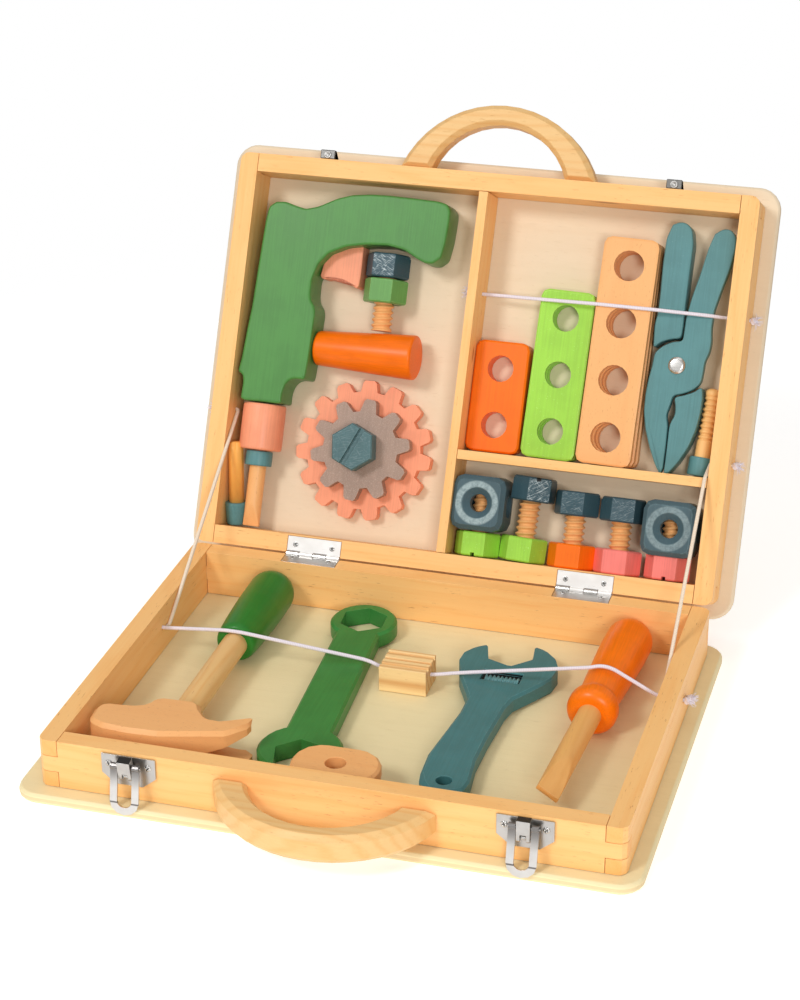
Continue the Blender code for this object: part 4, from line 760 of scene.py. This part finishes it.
elasticY, elasticU = 140.8, 153.5
baseElastic = [
    (-147.6, elasticY, 14), (-133.6, elasticY, 14), (-97.0, 134.6, 21.2), (-88.6, 134.6, 21.2),
    (-20.9, elasticY, 11.4), (-12.6, elasticY, 8), (13.4, elasticY, 8), (27.8, elasticY, 11.4),
    (97.1, elasticY, 25.3), (100, elasticY, 26.5), (103.3, elasticY, 27), (106.6, elasticY, 26.7),
    (109.6, elasticY, 25.7), (132, elasticY, 14), (147.6, elasticY, 14),
]
lidElastic = [
    (-9.8, elasticU, 10), (-2.2, elasticU, 10), (31, elasticU, 13.6), (62.7, elasticU, 19.6),
    (92.7, elasticU, 19.6), (125.5, elasticU, 14.9), (132, elasticU, 10), (147.6, elasticU, 10),
]
leftStay = [(-147.6, 37.3, 17.5), (-133.8, 37.3, 17.5), (-133.8, 156.1, 93.5), (-147.6, 156.1, 93.5)]
rightStay = [(-x, y, z) for x, y, z in leftStay]
rightStay.insert(2, (133.8, 137.5, 93.4))
stayLevel = np.array((0, -0.54, 0.84))
tiedCord("baseElastic", "base_elastic", "base", baseElastic, np.array((0, 0, 1.0)), "case", seed=11)
tiedCord("lidElastic", "lid_elastic", "lid", lidElastic, np.array(lidN), "lid", seed=21)
tiedCord("leftStayCord", "left_stay_cord", None, leftStay, stayLevel, "case", "lid", 1.4, 31)
tiedCord("rightStayCord", "right_stay_cord", None, rightStay, stayLevel, "case", "lid", 1.4, 41)
print("cords made")


# Metal: hinges, draw latches and their keepers, with cross-head screws
screwLook = {"radius": 1.75, "dome": 0.55, "low": 0.12, "slot": 0.24, "slotReach": 0.64, "slotDepth": 0.45}
flushLook = {**screwLook, "radius": 1.5, "dome": 0.06, "low": 0.03, "slotDepth": 0.03}


def screwHead(name, where, like, use=screwLook):
    # height dome times the root of (1 - share squared), less slotDepth within a cross near the middle;
    # the cross's dark finish is painted shade in the slot
    size = use["radius"]
    ring = np.linspace(0, 1, 15)[:, None]
    t = angles(48)
    x, y = size * ring * np.cos(t), size * ring * np.sin(t)
    height = use["dome"] * np.sqrt(np.clip(1 - ring**2, 0, 1)) + use["low"] + 0 * t
    inSlot = ((np.abs(x) < use["slot"]) | (np.abs(y) < use["slot"])) & (ring < use["slotReach"])
    height = height - use["slotDepth"] * inSlot
    points = np.concatenate((np.stack((x, y, height), -1), np.stack((x[-1:], y[-1:], 0 * y[-1:] - 0.3), -1)))
    points = np.concatenate((points, points[-1:] * (0, 0, 1)))
    piece = newPiece(name, points, gridFaces(len(points), 48), where)
    inverse = where.inverted()
    for polygon in piece.data.polygons:
        centre = inverse @ polygon.center / mm
        near = centre.z > 0 and centre.xy.length < size * use["slotReach"]
        polygon.material_index = int(near and min(abs(centre.x), abs(centre.y)) < use["slot"])
    plain = metalFinish(name + "Metal", right, 205, 0.2)
    # the cross takes a dark finish: painted shade in the slot
    dress(piece, "nickel_steel", plain, metalFinish(name + "Cross", right, 84, 0.2), like=like)


hingeLook = {"middle": 76.2, "top": 26.0, "baseRow": 214.6, "lidRow": 4.6}
for side, way in (("left", -1), ("right", 1)):
    baseLeaf, lidLeaf = side + "_hinge_base_leaf", side + "_hinge_lid_leaf"
    metalPiece(baseLeaf, right, 0.12, shade=196)
    # the lid leaves are near white and partly diffuse: a painted bright reflection
    metalPiece(lidLeaf, right, 0.12, shade=248, metallic=0.45)
    for label, off, turn in (("One", -10.6, 20), ("Two", 10.4, -35)):
        x = way * hingeLook["middle"] + off
        where = spot("base", (x, hingeLook["baseRow"], hingeLook["top"]), (0, 0, turn))
        screwHead(f"{side}HingeScrew{label}", where, baseLeaf, flushLook)
        where = spot("lid", (x, hingeLook["lidRow"], hingeLook["top"]), (0, 0, turn * 2))
        screwHead(f"{side}HingeLidScrew{label}", where, lidLeaf, flushLook)
keeperLook = {"low": 218.3, "wider": 1.12, "taller": 1.2, "bead": (220.6, 23.5)}
keeperBead = [(0, 0.15), (1.0, 0.15), (1.3, 0.5), (1.9, 0.6), (2.1, 0.3), (2.1, -0.5), (0, -0.5)]
for side, middle, slide in (("left", -97.5, 1.6), ("right", 97.5, 0.4)):
    metalPiece(side + "_latch_plate", right, 0.18, shade=188)
    # the lever's top takes painted shade
    metalPiece(side + "_latch_lever", up, 0.4, shade=188, darkTop=0.9)
    # the bail's darker upper arms are a painted reflection, the dark line at its bend painted shade
    metalPiece(side + "_latch_bail", up, 0.25, shade=214, fade=(15, 26, 8.6))

    def photoKeeper(x, u, h):
        # slid to the photo's place: x away from the middle times wider, u above low times taller
        low = keeperLook["low"]
        return middle + slide + (x - middle) * keeperLook["wider"], low + (u - low) * keeperLook["taller"], h

    node = side + "_keeper"
    keeper = easedPiece(
        side + "Keeper", node, 0.9, 3, wearAndSheen=False, side=1.0, where=trays["lid"], shape=photoKeeper
    )
    dress(keeper, "nickel_steel", metalFinish(side + "KeeperMetal", right, 112, 0.36), node=node)
    where = spot("lid", (middle + slide, *keeperLook["bead"]))
    bead = turnedPiece(side + "KeeperBead", keeperBead, where, 32)
    dress(bead, "nickel_steel", metalFinish(side + "BeadMetal", right, 186, 0.4), like=node)
    for label, off, turn in (("One", -10.0, 15), ("Two", 10.0, 50)):
        where = spot("base", (middle + off, -1.2, 19.6), (90, 0, 0)) @ Matrix.Rotation(radians(turn), 4, "Z")
        screwHead(f"{side}LatchScrew{label}", where, side + "_latch_plate")
print("metal made")

# Bolts and nuts: eased hexagons on turned threads
thread = {"radius": 5.9, "depth": 1.5, "pitch": 3.2, "turns": 1, "sharp": 0.8, "fade": 1.2}
boltWood = woodFinish("boltThreadWood", "beech", lidU, right, shift=5.0)
boltLook = {"low": 10.4, "high": 11.1, "halfHead": 12.47, "nutWider": 1.04, "firstSlide": 1.2}
# place, length, lean, the nut's paint, how far the head is turned and how far it sits off the panel
standing = {
    "bolt_1": (37.35, 46.2, -2.2, "brightGreen", 26, 1.2), "bolt_2": (64.4, 41.6, 0, "orange", -4, 0.3),
    "bolt_3": (89.9, 41.1, 0, "rosePink", 8, 0.5),
}


def blocksOnly(name, node, where, end, **more):
    # the solid's nut and head without its shaft, which is near the axis from 13 mm above the low end to end
    def onShaft(p):
        return p.x**2 + p.y**2 < 28 and 13 < p.z < end
    return easedPiece(name, node, 0.4, 3, lidU, 0.6, where, onShaft, wearAndSheen=False, **more)


def shaftOnly(name, node, start, end, where, use=thread):
    dress(threadedPiece(name + "Thread", use, start, end, where), "beech", boltWood, node=node)
for number, (node, (x, length, lean, nutPaint, headTurn, headRise)) in enumerate(standing.items()):
    low = boltLook["low"] + boltLook["halfHead"] * abs(sin(radians(lean)))
    where = spot("lid", (x, low, boltLook["high"]), (-90, 0, lean))
    name = f"bolt{number + 1}"
    turn = radians(headTurn)
    headSlide = 0 if number else boltLook["firstSlide"]

    def turned(px, py, pz):
        # the nut is wider; the head turns to (x cos - y sin, x sin + y cos), slides and sits off the panel
        if pz < length / 2:
            wider = boltLook["nutWider"]
            return px * wider, py * wider - boltLook["high"] * (wider - 1), pz - 0.3
        return px * cos(turn) - py * sin(turn) + headSlide, px * sin(turn) + py * cos(turn) - headRise, pz

    def headOrNut(p):
        return int(p.z > length / 2)

    blocks = blocksOnly(name + "Blocks", node, where, length - 13, split=headOrNut, shape=turned)
    # the pale scratches on the head's lit side: wear and painted highlight
    fibre = (lidN * cos(turn) + right * sin(turn), 0.3 if number else 0.9, 0.7)
    hollowShade = None
    if number == 0:
        # the slot's end shows at the top of the first head, as painted shade
        slotAcross = right * cos(turn) - lidN * sin(turn)
        top = where.translation / mm + lidU * length + right * headSlide
        hollowShade = (tuple(top), [(slotAcross, 1.4)], lidU, 2.4)
    nut = paintFinish(name + "NutPaint", nutPaint, lidU)
    head = paintFinish(name + "HeadPaint", "darkTeal", lidU, fibre=fibre, hollowShade=hollowShade, shift=number * 9.0)
    dress(blocks, "teal_paint", nut, head, node=node)
    shaftOnly(name, node, 11.0, length - 12.0, where)
cubeLook = {"width": 27.6, "shaftShort": 3, "ring": (8.5, 12.2), "grow": (1.05, 1.08, 1.02)}
cubeThread = {**thread, "radius": 5.2, "depth": 1.25}
cubes = {"left": (11.9, 25.6, "brightGreen", 1.0, 0.5), "right": (117.2, 24.1, "rosePink", 0.55, 0)}
for side, (x, low, paint, bright, push) in cubes.items():
    node = side + "_cube_bolt"
    where = spot("lid", (x, boltLook["low"], boltLook["high"]), (-90, 0, 0))
    coated(blocksOnly(side + "CubeNut", node, where, 99), node, "teal_paint", paint)
    top = low + cubeLook["width"] - cubeLook["shaftShort"] - boltLook["low"]
    shaftOnly(side + "Cube", node, 11.0, top, where, cubeThread)
    middle = low + cubeLook["width"] / 2
    centre = tuple(spot("lid", (x, middle, 25)).translation / mm)
    wide, tall, deep = cubeLook["grow"]
    painted(
        side + "_cube", "cubeTeal", "teal_paint", lidU, 3.3, side=1.0,
        ring=(centre, lidN, *cubeLook["ring"], bright),
        where=spot("lid", (x, middle, 0.3)),
        shape=lambda px, py, pz: (px * wide + push, py * tall, pz * deep),
    )
where = spot("lid", (-57, 170, 0.3 + 10.8), (90, 0, 0))
looseHead = blocksOnly("looseBoltHead", "loose_bolt", where, 99)
# the loose head's front face: pale scratches, wear and painted highlight
coated(looseHead, "loose_bolt", "teal_paint", "darkTeal", fibre=(lidN, 0.8, -0.6))
shaftOnly("looseBolt", "loose_bolt", 12.0, 42.6, where)
painted("loose_nut", "nutGreen", "tool_green_paint", lidU, 0.4, lidU, side=0.6)
print("bolts made")


# Lid tools
drillOutline = [
    (-117.5, 192.9), (-122.8, 192.4), (-126.8, 189.4), (-127.9, 180.6), (-129.0, 156.6), (-129.9, 133.6),
    (-131.2, 119.4), (-132.4, 103.7), (-133.6, 96.3), (-130.6, 94.8), (-129.8, 90.8), (-130.3, 81.6),
    (-127.8, 80.7), (-107.4, 80.8), (-106.4, 81.6), (-106.5, 86.7), (-105.4, 91.4), (-103.1, 94.4),
    (-100.2, 95.6), (-94.6, 95.6), (-94.1, 98.6), (-93.6, 107.7), (-93.2, 120.8), (-92.9, 133.4),
    (-93.7, 136.6), (-96.1, 139.4), (-97.1, 143.3), (-97.1, 151.6), (-94.6, 159.9), (-89.1, 166.6),
    (-79.5, 171.1), (-67.9, 173.3), (-56.0, 174.0), (-46.5, 172.4), (-38.9, 168.3), (-34.0, 166.2),
    (-29.4, 166.2), (-25.2, 169.8), (-23.6, 179.2), (-22.9, 190.6), (-23.0, 196.3), (-25.4, 199.5),
    (-30.6, 200.6), (-42.1, 201.0), (-57.9, 201.4), (-69.0, 201.1), (-79.7, 199.8), (-87.8, 197.2),
    (-98.2, 191.9), (-105.6, 189.9), (-112.2, 191.4),
]
drill = slabPiece("drillBody", [(drillOutline, 0.3, 22.3, 1.3)], 1.6, trays["lid"])
coated(drill, "drill_body", "drill_green_paint", "drillGreen")
triggerOutline = [
    (-71.9, 173.2), (-79.5, 172.4), (-88.6, 168.0), (-93.6, 162.6), (-95.2, 154.2), (-93.4, 152.7),
    (-87.2, 153.6), (-81.4, 153.1), (-76.4, 150.9), (-73.6, 149.4), (-72.2, 150.4), (-71.7, 156.5),
]
trigger = slabPiece("drillTrigger", [(triggerOutline, 0.3, 13.3, 0.7)], 1.2, trays["lid"])
coated(trigger, "drill_trigger", "pink_paint", "pink")
drillLook = {
    "chuck": [(0, 0), (12, 0), (12, 25.9), (3.9, 25.9), (3.9, 27), (0, 27)],
    "collar": [(0, 26.4), (7.5, 26.4), (7.5, 34.8), (0, 34.8)],
    "bit": {"radius": 4.7, "start": 33.5, "end": 68.7},
}
chuckWhere = spot("lid", (-118.3, 80.0, 12.3), (90, 0, 0))
turnedTool("drillChuck", "drill_chuck", "pink_paint", "pink", drillLook["chuck"], 1.6, chuckWhere)
turnedTool("drillCollar", "drill_chuck", "teal_paint", "teal", drillLook["collar"], 0.8, chuckWhere)
def blade(tip, length, thin, full):
    # both faces come in evenly over the length before the tip, from full to half of thin
    def flatten(points):
        share = np.clip((tip - points[..., 2]) / length, 0, 1)
        half = thin / 2 + (full - thin / 2) * share
        points[..., 1] = np.clip(points[..., 1], -half, half)
        return points
    return flatten


def rodProfile(radius, start, end, steps=40, ease=0.6):
    # a rod with eased ends and even steps between them, so that its shape can change on the way
    body = softProfile([(0, start), (radius, start), (radius, end), (0, end)], ease)
    middle = len(body) // 2
    run = np.linspace(body[middle - 1], body[middle], steps)
    return np.concatenate((body[:middle - 1], run, body[middle + 1:]))


bitBlade = blade(68.8, 12, 2.2, drillLook["bit"]["radius"])
bit = turnedPiece("drillBit", rodProfile(**drillLook["bit"]), chuckWhere, 48, bitBlade)
coated(bit, "drill_chuck", "beech", "beech", shift=70.0)
ferruleProfile = [(0, 0), (5.7, 0), (6.6, 12.6), (0, 12.6)]
dowelLook = {"radius": 4.3, "start": 12, "shoulder": 43, "taper": 1.1, "tipLength": 4, "end": 47.2}
spareWhere = spot("lid", (-128.3, 11.6, 6.9), (14 - 90, 0, 3.4))
turnedTool("spareFerrule", "spare_bit", "teal_paint", "teal", ferruleProfile, 0.8, spareWhere)
def crossTip(points):
    # near the end four shallow flutes run in, deepest at the tip
    x, y, z = points[..., 0], points[..., 1], points[..., 2]
    t = np.arctan2(y, x)
    flute = np.clip((z - 41) / 5, 0, 1) * np.abs(np.cos(2 * t)) ** 6 * 0.9
    return swept(np.hypot(x, y) * (1 - flute * 0.4), t, z)


def dowelProfile(radius, start, shoulder, taper, tipLength, end):
    # straight to the shoulder, then narrower by the taper times share to the power 1.5
    tip = [(radius - taper * share**1.5, shoulder + tipLength * share) for share in np.linspace(0.1, 1, 9)]
    return [(0, start), (radius, start), (radius, shoulder), *tip, (0, end)]


dowel = turnedPiece("spareDowel", dowelProfile(**dowelLook), spareWhere, 96, crossTip)
coated(dowel, "spare_bit", "beech", "golden", shift=80.0)
coneLook = {"small": 9.6, "large": 12.5, "high": 58}
small, large, high = coneLook.values()
coneRise = degrees(atan((large - small) / high))
coneProfile = [(0, 0), (small, 0), (large, high), (0, high)]
turnedTool(
    "taperedCylinder", "tapered_cylinder", "orange_paint", "orange", coneProfile, 1.8,
    spot("lid", (-92.6, 114.5, 10.2), (0, 90 - coneRise, 0)), right, 72, 5,
)
painted("large_gear", "pink", "pink_paint", lidU, 0.5, lidN, side=0.8)
painted("small_gear", "greyBrown", "grey_paint", lidU, 0.5, lidN, side=0.8)
gearSlot = {"turn": radians(65), "wide": 1.5, "within": 2.0, "shift": (-1.8, 1.1, 0.3)}


def gearBoltShape(x, y, z):
    # the head lies a little to the left, and its slot is wider: away from the slot's middle line times wide
    across = (-sin(gearSlot["turn"]), cos(gearSlot["turn"]))
    away = x * across[0] + y * across[1]
    grow = away * (gearSlot["wide"] - 1) if abs(away) < gearSlot["within"] and z > 15 else 0
    dx, dy, dz = gearSlot["shift"]
    return x + grow * across[0] + dx, y + grow * across[1] + dy, z + dz


# the gear bolt's head: faint pale scratches, wear and painted highlight
painted(
    "gear_bolt", "gearTeal", "teal_paint", lidU, 0.4, lidN, side=0.5,
    where=spot("lid", (-60, 60.6, 0)), shape=gearBoltShape, fibre=(lidN, 0.18, 0.5),
)
painted("orange_bar", "orange", "orange_paint", lidU, 0.4, lidN, side=0.8)


def barStack(name, node, slot, place, lean, thick, tall, slip, finishes):
    # three thin bars, each a third of the solid's height less 0.1 mm; at their feet the lowest swings out by
    # slip and the middle one by half of it
    where = spot("lid", place, (0, 0, -lean))
    for layer, share in enumerate((1, 0.5, 0)):
        piece = easedPiece(f"{name}{layer + 1}", node, 0.4, 3, lidN, 0.8, wearAndSheen=len(finishes) > 1)
        flat = Matrix.Diagonal((1, 1, (thick / 3 - 0.1) / thick, 1))
        lift = Matrix.Translation((slip * share * mm, 0, layer * thick / 3 * mm))
        turn = Matrix.Rotation(slip * share / tall, 4, "Z")
        piece.data.transform(where @ lift @ turn @ flat @ where.inverted())
        dress(piece, slot, *finishes, node=node)


greenPaint = paintFinish("greenBarPaint", "brightGreen", lidU)
# the green bars' edge finish: wear with a painted highlight
greens = [greenPaint, paintFinish("greenBarEdge", "brightGreen", lidU, wearAndSheen=True)]
barStack("greenBar", "green_bar_stack", "bright_green_paint", (44.4, 67.7, 0.3), 1.1, 12.0, 93, 1.0, greens)
barWood = woodFinish("barWood", "beech", lidU, right, shift=15.0)
barStack("woodBar", "wood_bar_stack", "beech", (76.2, 67.7, 0.3), 1, 18.0, 124, 2.2, [barWood])

plierLook = {"thick": 13.3, "low": 0.3, "lap": 6.6, "corner": 2.2, "middle": (109.5, 125.2), "hub": 13.6}
leftGrip = [
    (102.4, 202.4), (98.2, 200.4), (95.7, 192.8), (95.4, 178.5), (95.9, 164.2), (95.9, 153.1),
    (94.9, 146.0), (95.6, 133.4), (99.4, 137.2), (105.0, 139.4), (109.9, 140.0), (110.3, 146.0),
    (110.1, 157.7), (110.3, 173.5), (110.5, 191.0), (109.0, 198.8), (106.1, 201.7),
]
rightGrip = [
    (125.9, 200.8), (121.4, 197.5), (119.0, 190.1), (116.2, 175.6), (113.2, 162.7), (111.4, 151.5),
    (111.1, 138.6), (106.2, 138.0), (101.0, 135.4), (96.7, 131.2), (96.3, 124.5), (95.1, 117.2),
    (94.4, 108.4), (94.7, 98.9), (96.7, 89.5), (99.9, 80.3), (104.1, 71.2), (107.3, 66.3), (108.5, 69.3),
    (108.7, 81.2), (108.4, 93.1), (106.9, 98.3), (108.5, 104.3), (109.2, 109.2), (115.1, 110.9),
    (120.2, 113.6), (123.5, 117.4), (124.0, 122.6), (124.2, 128.9), (126.1, 133.9), (126.5, 140.2),
    (125.6, 146.4), (126.0, 156.8), (128.8, 168.9), (131.8, 180.3), (133.2, 189.9), (133.2, 196.3),
    (130.3, 200.3),
]
rightJaw = [
    (124.3, 115.6), (120.7, 112.4), (115.4, 109.9), (110.0, 108.3), (111.4, 103.8), (111.7, 99.0),
    (109.6, 94.2), (109.3, 90.8), (109.4, 81.3), (109.3, 67.2), (111.6, 67.2), (116.4, 73.9), (120.9, 82.6),
    (123.9, 92.4), (125.2, 102.1), (125.4, 110.0),
]
hubX, hubU = plierLook["middle"]
hub = [(hubX + plierLook["hub"] * cos(t), hubU + plierLook["hub"] * sin(t)) for t in angles(24)[0]]
low, lap, top = plierLook["low"], plierLook["lap"], plierLook["thick"] + plierLook["low"]
plierRuns = {
    "pliersLeft": (
        "pliers_left_grip", [(leftGrip, low, top, 0.8), (rightJaw, low, top, 0.8), (hub, low, lap, 0.3)]
    ),
    "pliersRight": ("pliers_right_grip", [(rightGrip, lap + 0.3, top, 0.8)]),
}
for name, (node, runs) in plierRuns.items():
    piece = slabPiece(name, runs, plierLook["corner"], trays["lid"])
    coated(piece, node, "teal_paint", "teal", shift=len(name) * 5.0)
rivetProfile = [(0, -0.2), (4.7, -0.2), (4.7, 0.45), (3.4, 1.45), (0, 1.5)]
rivet = turnedPiece("pliersRivet", softProfile(rivetProfile, 0.6), spot("lid", (109.5, 125.4, top)))
dress(rivet, "nickel_steel", metalFinish("rivetMetal", right, 224, 0.2), like="pliers_right_grip")
pegLook = {
    "cap": [(0, 0), (6.6, 0), (6.5, 10.2), (0, 10.2)],
    "tip": [(0, 43.2), (4.2, 43.2), (4.2, 46), (2.2, 47.5), (0, 47.5)],
    "stem": {
        "radius": 4.2, "depth": 1.0, "pitch": 3.0, "turns": 0, "sharp": 1.1, "fade": 1.0, "plain": 19.0,
    },
}
pegWhere = spot("lid", (127.4, 67.87, 6.9), (-90, 0, -3.2))
turnedTool("pegCap", "threaded_peg", "teal_paint", "teal", pegLook["cap"], 0.9, pegWhere)
stem = threadedPiece("pegStem", pegLook["stem"], 7.0, 43.5, pegWhere)
coated(stem, "threaded_peg", "beech", "pine", shift=33.0)
turnedTool("pegTip", "threaded_peg", "beech", "pine", pegLook["tip"], 1.2, pegWhere, shift=33.0)
print("lid tools made")


# Base tools
def roundNose(radius, end, length):
    # a quarter of an ellipse from the full radius to the end
    return [(radius * cos(a), end - length * (1 - sin(a))) for a in np.linspace(0, pi / 2, 12)]


clawTips = [
    (-64.1, 40.3, -63.0, 41.4), (-58.6, 42.1, -58.3, 43.9), (-57.6, 42.6, -56.8, 44.7),
    (-54.9, 44.2, -52.6, 47.0), (-53.0, 43.5, -51.2, 46.6), (-53.0, 43.6, -51.2, 46.7),
    (-53.5, 40.7, -52.0, 41.8),
]
wooden(
    "hammer_head", "beech", "beech", right, back, 0.6, up, 0.3, shift=3.0,
    where=trays["base"], shape=movedCorners(clawTips),
)
hammerLook = {
    "shaft": [(0, 0), (6.7, 0), (6.7, 106), (0, 106)],
    "grip": [(0, 105), (10.0, 105), (11.0, 108), (11.9, 122), (12.6, 140), *roundNose(12.7, 176, 13)],
}
hammerWhere = spot("base", (-92.6, 31, 12.9), (-90, 0, 0))
turnedTool(
    "hammerShaft", "hammer_handle", "beech", "handle", hammerLook["shaft"], 0.6, hammerWhere, back,
    shift=21.0,
)
turnedTool(
    "hammerGrip", "hammer_handle", "tool_green_paint", "gripGreen", hammerLook["grip"], 1.8,
    hammerWhere, back, 80, 5,
)
painted("ring_wrench", "toolGreen", "tool_green_paint", back, 0.7, up, side=0.4)
wooden("oval_plate", "beech", "beech", right, back, 0.7, up, 0.6, shift=8.0)
shankLook = {
    "from": 100, "to": 32, "left": 2.0, "right": 4.0, "middle": 47, "top": 150, "lean": 0.02, "half": 12,
}
windowLook = {"was": (47.0, 150.1), "reach": (8.6, 4.2), "now": (49.4, 146.0), "grow": (1.34, 1.72)}
sharperJaws = movedCorners([
    (25.5, 156.5, 23.9, 157.3), (25.6, 155.9, 24.0, 156.6), (25.5, 164.1, 24.4, 165.0),
    (25.7, 165.0, 24.8, 166.2), (28.5, 170.5, 27.8, 171.0), (29.5, 171.5, 30.4, 173.7),
    (31.5, 172.4, 33.6, 176.0), (34.2, 171.1, 34.8, 174.9), (36.5, 162.6, 37.2, 166.2),
    (38.7, 160.2, 38.2, 162.3), (49.0, 156.6, 49.6, 157.9), (52.5, 157.3, 51.6, 157.9),
    (60.7, 164.6, 60.9, 167.4), (61.8, 167.5, 60.4, 170.4), (61.2, 176.0, 59.1, 179.1),
    (62.9, 177.5, 59.9, 180.4), (64.8, 177.1, 63.4, 179.1), (65.9, 176.4, 66.6, 176.9),
    (71.0, 170.4, 71.6, 171.6), (71.4, 169.8, 72.6, 170.0), (74.0, 162.2, 75.4, 163.0),
    (74.1, 161.3, 75.6, 161.6), (73.2, 152.3, 74.4, 152.4), (73.0, 151.6, 74.2, 151.6),
])


def widerFoot(x, y, z):
    # the shank spreads towards its hang hole: left and right sides move apart as y falls
    use = shankLook
    share = min(1, max(0, (use["from"] - y) / (use["from"] - use["to"])))
    away = (x - use["middle"] + (use["top"] - y) * use["lean"]) / use["half"]
    if share and abs(away) > 0.55:
        x += share * (use["right"] if away > 0 else -use["left"])
    # the worm's window is moved to the photo's place and grown about its middle
    dx, dy = x - windowLook["was"][0], y - windowLook["was"][1]
    if abs(dx) < windowLook["reach"][0] and abs(dy) < windowLook["reach"][1] and z > 1:
        x = windowLook["now"][0] + dx * windowLook["grow"][0]
        y = windowLook["now"][1] + dy * windowLook["grow"][1]
    return sharperJaws(x, y, z)


windowCentre = tuple(spot("base", (*windowLook["now"], 9.0)).translation / mm)
# the worm's window is darkened below its middle as painted shade
painted(
    "adjustable_wrench", "wrenchTeal", "teal_paint", back, 0.7, up, side=0.4,
    where=trays["base"], shape=widerFoot, hollowShade=(windowCentre, [(right, 10.8), (back, 5.6)], -up, 0),
)
wormLook = {"radius": 4.3, "depth": 1.1, "pitch": 2.1, "turns": 0, "sharp": 0.7, "fade": 0.5}
wormWhere = spot("base", (41.3, 144.9, 5.7), (0, 90, 0))
worm = threadedPiece("wrenchWorm", wormLook, 0.0, 17.4, wormWhere, 32)
# the worm takes the lighter mottled finish all over: wear with a painted highlight
dress(worm, "teal_paint", paintFinish("wormPaint", "teal", right, wearAndSheen=True), like="adjustable_wrench")
driverLook = {
    "rod": {"radius": 6.1, "start": 0, "end": 78, "steps": 60, "ease": 0.3},
    "handle": [
        (0, 76), (9.6, 76), (13, 79), (13, 86), (10.4, 90), (10.3, 94), (10.9, 104), (11.9, 126), (12.5, 142),
        *roundNose(12.5, 168, 14),
    ],
}
driverWhere = spot("base", (98.6, 38.5, 13.3), (-90, 0, -2.9))
bladeTurn = Matrix.Rotation(radians(32), 4, "Z")
driverBlade = blade(0, -26, 2.6, driverLook["rod"]["radius"])
rod = turnedPiece("driverShaft", rodProfile(**driverLook["rod"]), driverWhere @ bladeTurn, 64, driverBlade)
coated(rod, "screwdriver", "beech", "driver", back, shift=41.0)
turnedTool(
    "driverHandle", "screwdriver", "orange_paint", "brightOrange", driverLook["handle"], 3.0,
    driverWhere, back, 80, 6,
)
print("base tools made")

# Camera, light, floor
camera = added("camera", bpy.data.cameras.new("camera"))
camera.data.sensor_fit = "VERTICAL"
camera.data.sensor_height = 36
camera.data.lens = 89.5
camera.data.clip_end = 20
view = Matrix(((0.96016, -0.11728, 0.25364), (0.27938, 0.42148, -0.86273), (-0.00573, 0.89922, 0.43746)))
camera.matrix_world = Matrix.Translation((0.313609, -1.045238, 0.658134)) @ view.to_4x4()
bpy.context.scene.camera = camera

lights = {
    "keyLight": {"place": (-1.2, -2.05, 2.25), "size": 0.7, "power": 38},
    "sideLight": {"place": (1.1, -2.4, 1.1), "size": 0.65, "power": 27},
    "topLight": {"place": (0.1, 0.2, 2.2), "size": 1.6, "power": 5},
}
for name, use in lights.items():
    lamp = bpy.data.lights.new(name, "AREA")
    lamp.size = use["size"]
    lamp.energy = use["power"]
    holder = added(name, lamp)
    holder.location = use["place"]
    aim = Vector((0, 0, 0.08)) - Vector(use["place"])
    holder.rotation_euler = aim.to_track_quat("-Z", "Y").to_euler()

# the world lights the scene warmly, and the camera sees it plain white
world = bpy.data.worlds.new("studio")
bpy.context.scene.world = world
sky = Look(world)
rays = [sky.add("ShaderNodeLightPath", output=f"Is {kind} Ray") for kind in ("Camera", "Transmission")]
seen = sky.add("ShaderNodeMath", {"operation": "ADD", "use_clamp": True}, dict(enumerate(rays)))
plain = sky.add("ShaderNodeBackground", {}, {"Color": (1, 0.97, 0.93, 1), "Strength": 0.45})
white = sky.add("ShaderNodeBackground", {}, {"Color": (1, 1, 1, 1), "Strength": 1})
sky.node("ShaderNodeOutputWorld", {}, {0: sky.add("ShaderNodeMixShader", {}, {0: seen, 1: plain, 2: white})})

floorLook = Look(newMaterial("paleFloor"))
fade = floorLook.reach(floorLook.place()).ramp(300, 700)
shade = floorLook.add("ShaderNodeBsdfDiffuse", {}, {"Color": (0.93, 0.93, 0.93, 1)})
glow = floorLook.add("ShaderNodeEmission", {}, {"Color": (1, 1, 1, 1), "Strength": 0.4})
lit = floorLook.add("ShaderNodeAddShader", {}, {0: shade, 1: glow})
clear = floorLook.add("ShaderNodeBsdfTransparent")
whole = floorLook.add("ShaderNodeMixShader", {}, {0: fade, 1: lit, 2: clear})
floorLook.node("ShaderNodeOutputMaterial", {}, {"Surface": whole})
floorPoints = swept(np.linspace(0, 1400, 12)[:, None], angles(64), np.full((12, 1), -0.05))
floor = newPiece("floor", floorPoints, gridFaces(12, 64))
floor.data.materials.append(floorLook.owner)
bpy.context.scene.view_settings.view_transform = "Standard"
print("camera, light and floor set")
